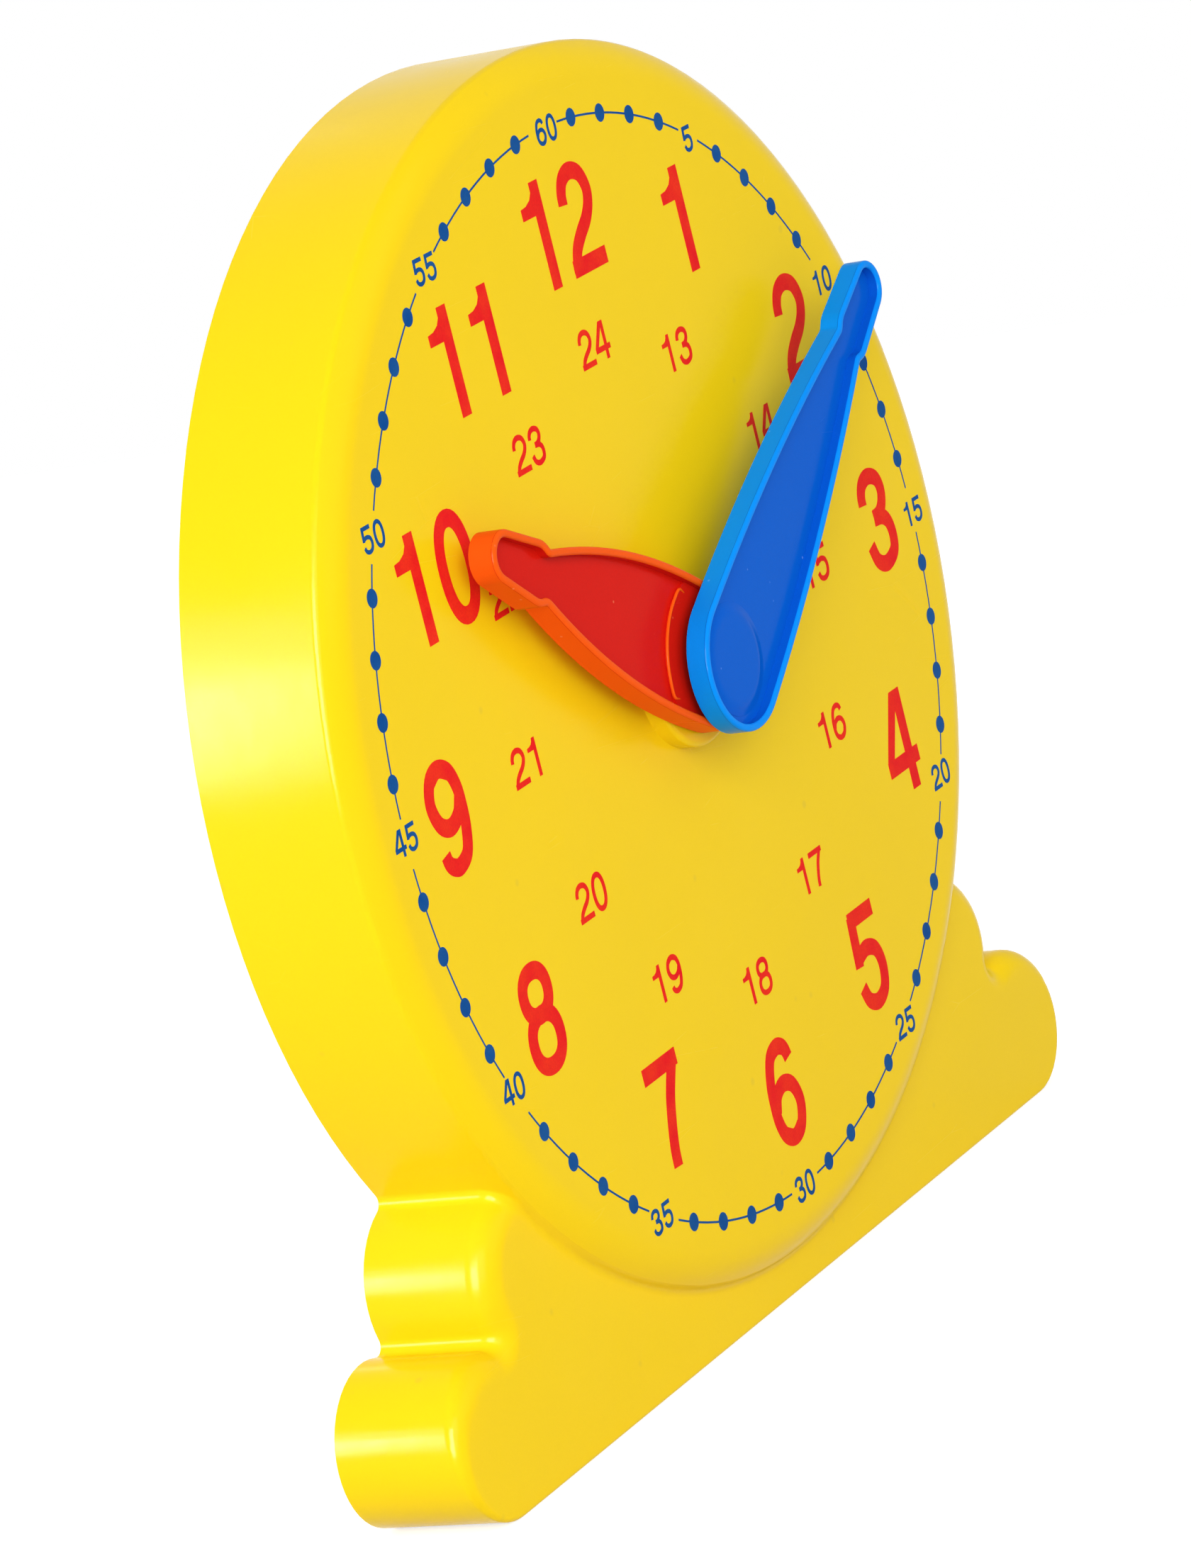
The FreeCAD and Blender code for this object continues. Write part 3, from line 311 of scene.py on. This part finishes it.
def newPiece(name, shape, body, materials):
    mesh = bpy.data.meshes.new(name)
    shape.to_mesh(mesh)
    shape.free()
    for material in materials:
        mesh.materials.append(material)
    piece = bpy.data.objects.new(name, mesh)
    scene.collection.objects.link(piece)
    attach(piece, body)
    return piece


def smoothed(shape, sharpAngle):
    for edge in shape.edges:
        edge.smooth = len(edge.link_faces) == 2 and edge.calc_face_angle(0.0) < math.radians(sharpAngle)
    for face in shape.faces:
        face.smooth = True


# distances in metres at which two places on a CAD mesh count as one
mergeDistance = 0.000002
depthTolerance = 0.00003
# degrees from which an edge of the CAD shapes stays sharp
mouldingSharpAngle = 32.0


def cadShape(node):
    # a merged copy of a CAD node's loose triangles
    shape = bmesh.new()
    shape.from_mesh(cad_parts[node].data)
    bmesh.ops.remove_doubles(shape, verts=shape.verts, dist=mergeDistance)
    for face in shape.faces:
        face.material_index = 0
    return shape


def standsFor(node, name, body, materials, shape=None):
    shape = shape or cadShape(node)
    smoothed(shape, mouldingSharpAngle)
    piece = newPiece(name, shape, body, materials)
    weighted = piece.modifiers.new("weightedNormals", "WEIGHTED_NORMAL")
    weighted.mode = "FACE_AREA_WITH_ANGLE"
    weighted.keep_sharp = True
    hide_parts(node)


standsFor("housing", "dialHousing", "case", [yellowPlastic])
standsFor("back_cover", "rearCover", "case", [yellowPlastic])
standsFor("cover_screws", "coverScrews", "case", [screwSteel])
print("case made")


def fromAxis(place):
    return math.hypot(place.x, place.z - dial["z"])


def roundAxis(place):
    return math.atan2(place.x, place.z - dial["z"])


def handShape(hand):
    # a pad over the hub becomes a soft rise, and the tray's floor inside the rim gets a darker copy of the
    # plastic as painted shade of the recess
    shape = cadShape(hand["node"])
    if "pad" in hand:
        softenPad(shape, hand["pad"], hand["floor"])
    for face in shape.faces:
        depths = [vertex.co.y for vertex in face.verts]
        # the faces of the tray floor take material 1, the darker copy that paints in the recess's shade
        if min(depths) > hand["rimBack"] and max(depths) < hand["floor"] + depthTolerance:
            face.material_index = 1
    return shape


def softenPad(shape, pad, floor):
    # the flat top is taken off, and rings rise from its edge to its height
    def atFront(vertex):
        return abs(vertex.co.y - pad["front"]) < depthTolerance

    edge = [vertex for vertex in shape.verts
            if atFront(vertex) and abs(fromAxis(vertex.co) - pad["radius"]) < depthTolerance]
    tops = [face for face in shape.faces if all(atFront(vertex) for vertex in face.verts)
            and fromAxis(face.calc_center_median()) < pad["radius"]]
    bmesh.ops.delete(shape, geom=tops, context="FACES_ONLY")
    edge.sort(key=lambda vertex: roundAxis(vertex.co))
    angles = [roundAxis(vertex.co) for vertex in edge]
    height = floor - pad["front"]
    lip = pad["lip"]
    for vertex in edge:
        vertex.co.y = floor - height * lip
    inner = edge
    for step in range(1, pad["rings"]):
        inward = step / pad["rings"]
        share = min(1.0, inward * pad["radius"] / pad["slope"])
        rise = lip + (1 - lip) * (0.5 - 0.5 * math.cos(math.pi * share))
        reach = pad["radius"] * (1 - inward)
        ring = [shape.verts.new((reach * math.sin(angle), floor - height * rise,
                                 dial["z"] + reach * math.cos(angle))) for angle in angles]
        for number in range(len(ring)):
            after = (number + 1) % len(ring)
            shape.faces.new((inner[number], inner[after], ring[after], ring[number]))
        inner = ring
    shape.faces.new(inner)
    bmesh.ops.recalc_face_normals(shape, faces=shape.faces)


# depths of the tray's floor and of the back of its rounded rim
hourHand = {
    "node": "hour_hand",
    "floor": -0.0214,
    "rimBack": -0.0238,
}
minuteHand = {
    "node": "minute_hand",
    "floor": -0.0280,
    "rimBack": -0.0304,
    "pad": {
        "front": -0.0288,
        "radius": 0.0145,
        "slope": 0.0032,     # how far in from its edge it rises
        "lip": 0.12,         # height of its edge, as a share of its own
        "rings": 14,
    },
}
standsFor("hour_hand", "hourHand", "hour_train", [redPlastic, redFloorPaintedShade], handShape(hourHand))
standsFor("minute_hand", "minuteHand", "minute_train", [bluePlastic, blueFloorPaintedShade],
          handShape(minuteHand))


def smoothPath(points, steps=5):
    # a curve through all the points
    spots = [Vector(point) for point in points]
    path = []
    for number, (start, end) in enumerate(zip(spots, spots[1:])):
        before = spots[number - 1] if number else start * 2 - end
        after = spots[number + 2] if number + 2 < len(spots) else end * 2 - start
        for step in range(steps):
            t = step / steps
            path.append(0.5 * (start * 2 + (end - before) * t
                               + (before * 2 - start * 5 + end * 4 - after) * t * t
                               + (start * 3 - before - end * 3 + after) * t ** 3))
    path.append(spots[-1])
    return path


hubRidge = {
    "radius": 0.0230,
    "halfSpan": 37.0,     # degrees to each side of the hand's middle line
    "curlSpan": 4.0,
    "curlReach": 0.0021,
    "thickness": 0.00042,
    "depth": -0.02215,
    "handAngle": 300.8,
    "steps": 8,
    "sides": 8,
    "thinEnd": 0.35,      # thickness of the very ends, as a share
    "endSteps": 6,
    "sharpAngle": 60.0,
}


def makeHubRidge():
    # the bead round the hub, whose ends curl in towards it
    corners = [(-hubRidge["halfSpan"] - hubRidge["curlSpan"], hubRidge["radius"] - hubRidge["curlReach"])]
    for number in range(hubRidge["steps"] + 1):
        corners.append((hubRidge["halfSpan"] * (2 * number / hubRidge["steps"] - 1), hubRidge["radius"]))
    corners.append((-corners[0][0], corners[0][1]))
    points = []
    for angle, reach in corners:
        turn = math.radians(angle + hubRidge["handAngle"])
        points.append((reach * math.sin(turn), reach * math.cos(turn)))
    path = smoothPath(points)
    shape = bmesh.new()
    rings = []
    for number, spot in enumerate(path):
        along = path[min(number + 1, len(path) - 1)] - path[max(number - 1, 0)]
        across = Vector((-along.y, along.x)).normalized()
        fromEnd = min(number, len(path) - 1 - number) / hubRidge["endSteps"]
        thickness = hubRidge["thickness"] * min(1.0, hubRidge["thinEnd"] + fromEnd)
        ring = []
        for side in range(hubRidge["sides"]):
            angle = math.tau * side / hubRidge["sides"]
            flat = spot + across * (thickness * math.cos(angle))
            depth = hubRidge["depth"] + thickness * math.sin(angle)
            ring.append(shape.verts.new((flat.x, depth, dial["z"] + flat.y)))
        rings.append(ring)
    for first, second in zip(rings, rings[1:]):
        for side in range(hubRidge["sides"]):
            after = (side + 1) % hubRidge["sides"]
            shape.faces.new((first[side], first[after], second[after], second[side]))
    shape.faces.new(rings[0])
    shape.faces.new(rings[-1])
    bmesh.ops.recalc_face_normals(shape, faces=shape.faces)
    smoothed(shape, hubRidge["sharpAngle"])
    newPiece("hubRidge", shape, "hour_train", [redPlastic])


makeHubRidge()
print("hands made")

# strokes of the figures, on a grid 100 high that starts at the left of the ink
# a loop is (middle x, middle z, half width, half height)
figureShapes = {
    "0": {"loops": [(31.3, 50.3, 23.2, 43.6)]},
    "1": {"lines": [((31.6, 0), (31.6, 100))],
          "fills": [[(0, 69.6), (0, 80.4), (10.2, 81.5), (18.8, 85.2), (23.6, 91.2), (26.1, 100), (33, 100),
                     (33, 69.6)]]},
    "2": {"lines": [((0, 8.1), (62.5, 8.1))],
          "curves": [[(8.2, 66.2), (9.6, 77), (17, 88.4), (31.5, 93.2), (47.2, 87.4), (54.8, 72), (51.7, 58.2),
                      (41.8, 46), (27, 35.5), (14.5, 24.2), (8.6, 12), (7.6, 4)]]},
    "3": {"curves": [[(9.4, 70), (10.6, 79.5), (17.2, 89.4), (31.2, 93.8), (46.4, 88.2), (51.8, 76.2),
                      (48.2, 63.7), (38.5, 55), (25.6, 53)],
                     [(25.6, 53), (41.4, 51), (52.2, 42.8), (55.6, 28), (50.5, 13.8), (31.4, 6.8), (15.4, 13.4),
                      (8, 30.3)]]},
    "4": {"lines": [((46.6, 0), (46.6, 100)), ((0, 30.4), (65.3, 30.4))],
          "fills": [[(0, 37.3), (33.2, 100), (46, 100), (38.4, 80.1), (14.8, 37.3)]]},
    "5": {"lines": [((9.1, 92.6), (60.2, 92.6)), ((15.3, 96), (11.6, 46.5))],
          "curves": [[(13.3, 54), (20.6, 57.4), (34.1, 59.7), (49.7, 52.8), (55.7, 34.9), (49.7, 14.7),
                      (32.7, 6.6), (16.2, 12.4), (8.8, 27.4)]]},
    "6": {"curves": [[(53.1, 77.6), (50.6, 85.5), (45.6, 91), (34.9, 93.9), (20.1, 87.7), (10.6, 67.3),
                      (8.1, 47.8), (9.2, 29), (16.8, 13.4), (32.1, 7), (48, 13.4)],
                     [(16.8, 13.4), (32.1, 7), (48, 13.4), (56.1, 33.8), (48.6, 52.5), (32.7, 58.9),
                      (17.6, 52.5), (10.1, 38)]]},
    "7": {"lines": [((0, 92.1), (64.2, 92.1))],
          "curves": [[(56.8, 93.5), (47.7, 78.8), (37.8, 60.6), (29.5, 37.6), (24.1, 16.5), (22.7, 0)]]},
    "8": {"loops": [(31.2, 73.9, 21.3, 20.2), (31.7, 30.9, 23.9, 23.6)]},
    "9": {"curves": [[(11.9, 22.4), (14.2, 14.4), (20.6, 8.9), (31.2, 6.8), (46.7, 14.4), (54.4, 34.3),
                      (56.4, 52.7), (55.5, 71.1), (47.6, 87.5), (31.2, 94.1), (15, 87.5)],
                     [(47.6, 87.5), (31.2, 94.1), (15, 87.5), (7.6, 68.3), (15, 49), (30.6, 41.9),
                      (46.7, 48.4), (55, 61.2)]]},
}

# how a figure is laid out on its grid, and how thick the ink is in metres
inkLook = {
    "height": 0.00004,
    "root": 0.00002,
    "layerStep": 0.0000015,
    "layers": 6,
    "loopSteps": 40,
    "loopSquareness": 0.9,    # a little squarer than an ellipse
    "narrow": "1",
    "narrowInset": 11,
    "narrowWidth": 40,
    "inset": 4,
    "inkWidth": 64,
}


def onDial(x, z, height):
    turn = math.radians(dial["printTurn"])
    return Vector((math.cos(turn) * x - math.sin(turn) * z, dial["y"] - height,
                   math.sin(turn) * x + math.cos(turn) * z + dial["z"]))


class Ink:
    # closed slivers of ink on the dial, each a hair higher than the last where they cross

    def __init__(self):
        self.shape = bmesh.new()
        self.layer = 0

    def slab(self, outline, quads=None):
        # an outline filled as one face, or as a strip between its two halves
        self.layer = (self.layer + 1) % inkLook["layers"]
        height = inkLook["height"] + inkLook["layerStep"] * self.layer
        top = [self.shape.verts.new(onDial(x, z, height)) for x, z in outline]
        root = [self.shape.verts.new(onDial(x, z, -inkLook["root"])) for x, z in outline]
        count = len(outline)
        for corners in quads or [range(count)]:
            self.shape.faces.new([top[corner] for corner in corners])
            self.shape.faces.new([root[corner] for corner in corners])
        return top, root

    def walls(self, top, root, loop):
        for first, second in zip(loop, loop[1:] + loop[:1]):
            self.shape.faces.new((top[first], top[second], root[second], root[first]))

    def fill(self, outline):
        top, root = self.slab(outline)
        self.walls(top, root, list(range(len(outline))))

    def stroke(self, path, pen, closed=False):
        count = len(path)
        left, right = [], []
        for number, spot in enumerate(path):
            if closed:
                along = path[(number + 1) % count] - path[number - 1]
            else:
                along = path[min(number + 1, count - 1)] - path[max(number - 1, 0)]
            across = Vector((-along.y, along.x)).normalized() * pen
            left.append(spot + across)
            right.append(spot - across)
        pairs = count if closed else count - 1
        quads = [(n, (n + 1) % count, count + (n + 1) % count, count + n) for n in range(pairs)]
        top, root = self.slab(left + right, quads)
        if closed:
            self.walls(top, root, list(range(count)))
            self.walls(top, root, [count + n for n in range(count)])
        else:
            self.walls(top, root, list(range(count)) + [count + n for n in reversed(range(count))])

    def figure(self, digit, x, z, height, width, pen):
        scale = height / 100
        pen = pen * scale

        def placed(point):
            return Vector((x + point[0] * scale * width, z + point[1] * scale))

        shapes = figureShapes[digit]
        for line in shapes.get("lines", []):
            self.stroke([placed(point) for point in line], pen)
        for curve in shapes.get("curves", []):
            self.stroke(smoothPath([placed(point) for point in curve]), pen)
        for outline in shapes.get("fills", []):
            self.fill([placed(point) for point in outline])
        for middleX, middleZ, halfWidth, halfHeight in shapes.get("loops", []):
            loop = []
            for step in range(inkLook["loopSteps"]):
                angle = math.tau * step / inkLook["loopSteps"]
                bulge = [math.copysign(abs(part) ** inkLook["loopSquareness"], part)
                         for part in (math.cos(angle), math.sin(angle))]
                loop.append(placed((middleX + halfWidth * bulge[0], middleZ + halfHeight * bulge[1])))
            self.stroke(loop, pen, closed=True)

    def number(self, text, x, z, look):
        # centres the number's ink on a spot of the dial, in shares of the ring's radius
        height = look["height"] * dial["ring"]
        inset = [inkLook["narrowInset"] if digit == inkLook["narrow"] else inkLook["inset"] for digit in text]
        lastWidth = inkLook["narrowWidth"] if text[-1] == inkLook["narrow"] else inkLook["inkWidth"]
        start = inset[0] * look["width"]
        last = (len(text) - 1) * look["cell"] + (inset[-1] + lastWidth) * look["width"]
        left = x * dial["ring"] - (start + last) / 2 * height / 100
        foot = z * dial["ring"] - height / 2
        for place, digit in enumerate(text):
            shift = (place * look["cell"] + inset[place] * look["width"]) * height / 100
            self.figure(digit, left + shift, foot, height, look["width"], look["pen"])

    def finish(self, name, material):
        bmesh.ops.recalc_face_normals(self.shape, faces=self.shape.faces)
        newPiece(name, self.shape, "case", [material])


# places and heights in shares of the ring's radius, widths on the figures' own grid
hourPrint = {
    "height": 0.197,
    "width": 1.0,
    "cell": 73,
    "pen": 8.1,
    "numbers": {
        "12": (-0.013, 0.824), "1": (0.39, 0.73), "2": (0.72, 0.443), "3": (0.861, 0.021), "4": (0.739, -0.387),
        "5": (0.428, -0.711), "6": (0.010, -0.825), "7": (-0.392, -0.708), "8": (-0.725, -0.412),
        "9": (-0.852, -0.003), "10": (-0.695, 0.377), "11": (-0.429, 0.702),
    },
}
dayPrint = {
    "height": 0.070,
    "width": 1.17,
    "cell": 82,
    "pen": 7.4,
    "numbers": {
        "24": (-0.008, 0.603), "13": (0.276, 0.518), "14": (0.51, 0.305), "15": (0.584, 0.012),
        "16": (0.503, -0.277), "17": (0.298, -0.495), "18": (0.013, -0.608), "19": (-0.289, -0.495),
        "20": (-0.471, -0.277), "21": (-0.574, 0.003), "22": (-0.5, 0.29), "23": (-0.310, 0.494),
    },
}
minutePrint = {
    "height": 0.048,
    "width": 1.17,
    "cell": 84,
    "pen": 8.0,
    "numbers": {
        "60": (0.011, 0.994), "5": (0.495, 0.860), "10": (0.870, 0.492), "15": (1.007, -0.005),
        "20": (0.870, -0.493), "25": (0.505, -0.870), "30": (0.0, -1.003), "35": (-0.507, -0.867),
        "40": (-0.869, -0.488), "45": (-1.0, 0.007), "50": (-0.863, 0.500), "55": (-0.497, 0.870),
    },
    "line": 0.0020,          # half the ring line's width, in shares of the ring's radius
    "gap": 0.044,            # from a number's middle to the line's end, in radians
    "gapAtTop": 0.009,       # how much more at the top and the bottom
    "shortGap": 0.034,       # beside the one-digit number
    "lineSteps": 16,         # straight pieces between two numbers
}

for look, name, slot, material in ((hourPrint, "hourNumerals", "red_plastic", redInk),
                                   (dayPrint, "dayNumerals", "red_plastic", redInk),
                                   (minutePrint, "minuteNumbers", "blue_plastic", blueInk)):
    ink = Ink()
    for text, (x, z) in look["numbers"].items():
        ink.number(text, x, z, look)
    ink.finish(name, material)

ringInk = Ink()
for hour in range(12):
    ends = []
    for end in (hour, hour + 1):
        angle = math.radians(30 * end)
        gap = minutePrint["gap"] + minutePrint["gapAtTop"] * math.cos(angle) ** 2
        ends.append((angle, minutePrint["shortGap"] if end == 1 else gap))
    start, stop = ends[0][0] + ends[0][1], ends[1][0] - ends[1][1]
    steps = minutePrint["lineSteps"]
    turns = [start + (stop - start) * step / steps for step in range(steps + 1)]
    path = [Vector((math.sin(turn), math.cos(turn))) * dial["ring"] for turn in turns]
    ringInk.stroke(path, minutePrint["line"] * dial["ring"])
ringInk.finish("minuteRing", blueInk)

minuteDots = {
    "Dots": 60,
    "Left out": 5,           # every fifth place holds a number
    "Ring radius": dial["ring"],
    "Dot radius": 0.00235,
    "Ink height": 0.00006,
    "Sides": 24,
}


def makeMinuteDots():
    # one dot for every place on the ring that no number takes
    tree = bpy.data.node_groups.new("dotsRoundTheDial", "GeometryNodeTree")
    kinds = {int: "NodeSocketInt", float: "NodeSocketFloat"}
    sockets = {key: tree.interface.new_socket(name=key, in_out="INPUT", socket_type=kinds[type(value)])
               for key, value in minuteDots.items()}
    tree.interface.new_socket(name="Geometry", in_out="OUTPUT", socket_type="NodeSocketGeometry")
    given = addNode(tree, "NodeGroupInput").outputs
    circle = addNode(tree, "GeometryNodeMeshCircle", {"Vertices": given["Dots"], "Radius": given["Ring radius"]})
    index = addNode(tree, "GeometryNodeInputIndex").outputs["Index"]
    place = addNode(tree, "ShaderNodeMath", {0: index, 1: given["Left out"]}, operation="MODULO")
    free = addNode(tree, "ShaderNodeMath", {0: place.outputs[0], 1: 0.5}, operation="LESS_THAN")
    kept = addNode(tree, "GeometryNodeDeleteGeometry", {"Geometry": circle.outputs["Mesh"],
                                                        "Selection": free.outputs[0]})
    dot = addNode(tree, "GeometryNodeMeshCylinder", {"Vertices": given["Sides"], "Radius": given["Dot radius"],
                                                     "Depth": given["Ink height"]})
    dots = addNode(tree, "GeometryNodeInstanceOnPoints", {"Points": kept.outputs["Geometry"],
                                                          "Instance": dot.outputs["Mesh"]})
    turn = (math.radians(90), -math.radians(dial["printTurn"]), 0)
    placed = addNode(tree, "GeometryNodeTransform", {"Geometry": dots.outputs["Instances"], "Rotation": turn,
                                                     "Translation": (0, dial["y"], dial["z"])})
    real = addNode(tree, "GeometryNodeRealizeInstances", {"Geometry": placed.outputs["Geometry"]})
    inked = addNode(tree, "GeometryNodeSetMaterial", {"Geometry": real.outputs["Geometry"], "Material": blueInk})
    output = addNode(tree, "NodeGroupOutput")
    tree.links.new(inked.outputs["Geometry"], output.inputs["Geometry"])

    carrier = bpy.data.objects.new("dotCarrier", bpy.data.meshes.new("dotCarrier"))
    scene.collection.objects.link(carrier)
    modifier = carrier.modifiers.new("dots", "NODES")
    modifier.node_group = tree
    for key, value in minuteDots.items():
        modifier[sockets[key].identifier] = value
    evaluated = carrier.evaluated_get(bpy.context.evaluated_depsgraph_get())
    mesh = bpy.data.meshes.new_from_object(evaluated)
    mesh.name = "minuteDots"
    carrier.modifiers.remove(modifier)
    bpy.data.objects.remove(carrier)
    piece = bpy.data.objects.new("minuteDots", mesh)
    scene.collection.objects.link(piece)
    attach(piece, "case")


makeMinuteDots()
print("dial printed")

# the parts behind the dial keep their CAD shapes
innerFinishes = {
    "gear_bridge": bridgePlastic,
    "bridge_screws": screwSteel,
    "dial_bush": gearPlastic,
    "bridge_bush": brass,
    "hour_gear": gearPlastic,
    "minute_pinion": gearPlastic,
    "minute_shaft": steel,
    "pinion_pin": steel,
    "idler_gear": gearPlastic,
    "idler_axle": steel,
    "idler_washers": steel,
    "gear_washer": steel,
    "pressure_washer": steel,
    "friction_spring": steel,
    "retaining_clip": steel,
    "face_washer": gearPlastic,
    "hand_washer": gearPlastic,
}
for node, material in innerFinishes.items():
    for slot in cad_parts[node].material_slots:
        slot.material = material
print("inner parts finished")

studio = {
    "floorSize": 2.6,
    "floorColour": 0.62,
    "floorGlow": 0.66,       # what the camera sees of the floor on top of its lit colour
    "worldLight": 0.40,
    "lamps": {
        # name: place, target, width, height, watts
        "sideBox": ((-2.0, 1.60, 0.86), (-0.15, 0.0, 0.17), 0.60, 0.90, 29.0),
        "leftBox": ((-1.75, -1.35, 1.05), (0.0, 0.0, 0.15), 1.6, 1.4, 44.0),
        "frontBox": ((0.4, -2.2, 1.3), (0.0, 0.0, 0.15), 2.4, 1.8, 12.0),
        "rearBox": ((1.3, 2.3, 1.2), (0.0, 0.0, 0.15), 1.8, 1.4, 26.0),
    },
    # boxes that only show in the gloss
    "shine": {
        "shineBox": ((-2.0, 1.60, 0.55), (-0.15, 0.0, 0.17), 0.50, 0.70, 115.0),
        "edgeBox": ((-2.4, -0.50, 0.85), (-0.15, 0.0, 0.17), 1.20, 1.40, 300.0),
    },
}


def makeLamp(name, place, target, width, height, power):
    data = bpy.data.lights.new(name, "AREA")
    data.shape = "RECTANGLE"
    data.size = width
    data.size_y = height
    data.energy = power
    lamp = bpy.data.objects.new(name, data)
    lamp.visible_camera = False
    turn = (Vector(target) - Vector(place)).to_track_quat("-Z", "Y")
    lamp.matrix_world = Matrix.Translation(place) @ turn.to_matrix().to_4x4()
    scene.collection.objects.link(lamp)
    return lamp


def seenDirectly(tree):
    # one for camera, glossy and transmission rays
    path = addNode(tree, "ShaderNodeLightPath").outputs
    seen = path["Is Camera Ray"]
    for kind in ("Is Glossy Ray", "Is Transmission Ray"):
        seen = addNode(tree, "ShaderNodeMath", {0: seen, 1: path[kind]}, operation="MAXIMUM").outputs[0]
    return seen


def makeFloor():
    mesh = bpy.data.meshes.new("floor")
    half = studio["floorSize"] / 2
    mesh.from_pydata([(-half, -half, 0), (half, -half, 0), (half, half, 0), (-half, half, 0)], [], [(0, 1, 2, 3)])
    floor = bpy.data.objects.new("floor", mesh)
    scene.collection.objects.link(floor)
    material, tree, shader = newMaterial("paleFloor")
    grey = studio["floorColour"]
    shader.inputs["Base Color"].default_value = (grey, grey, grey, 1)
    shader.inputs["Roughness"].default_value = 1.0
    shader.inputs["Specular IOR Level"].default_value = 0.0
    glow = addNode(tree, "ShaderNodeEmission", {"Color": (1, 1, 1, 1), "Strength": studio["floorGlow"]})
    lit = addNode(tree, "ShaderNodeAddShader", {0: shader.outputs["BSDF"], 1: glow.outputs[0]})
    mix = addNode(tree, "ShaderNodeMixShader", {"Fac": seenDirectly(tree), 1: shader.outputs["BSDF"],
                                                2: lit.outputs[0]})
    output = next(node for node in tree.nodes if node.type == "OUTPUT_MATERIAL")
    tree.links.new(mix.outputs[0], output.inputs["Surface"])
    mesh.materials.append(material)


def makeWorld():
    world = bpy.data.worlds.new("studio")
    scene.world = world
    world.use_nodes = True
    tree = world.node_tree
    tree.nodes.clear()
    soft = addNode(tree, "ShaderNodeBackground", {"Color": (1, 1, 1, 1), "Strength": studio["worldLight"]})
    white = addNode(tree, "ShaderNodeBackground", {"Color": (1, 1, 1, 1), "Strength": 1.0})
    mix = addNode(tree, "ShaderNodeMixShader", {"Fac": seenDirectly(tree), 1: soft.outputs[0],
                                                2: white.outputs[0]})
    output = addNode(tree, "ShaderNodeOutputWorld")
    tree.links.new(mix.outputs[0], output.inputs["Surface"])


makeFloor()
makeWorld()
for name, settings in studio["lamps"].items():
    makeLamp(name, *settings)
for name, settings in studio["shine"].items():
    makeLamp(name, *settings).visible_diffuse = False
scene.view_settings.view_transform = "Standard"
print("studio set")
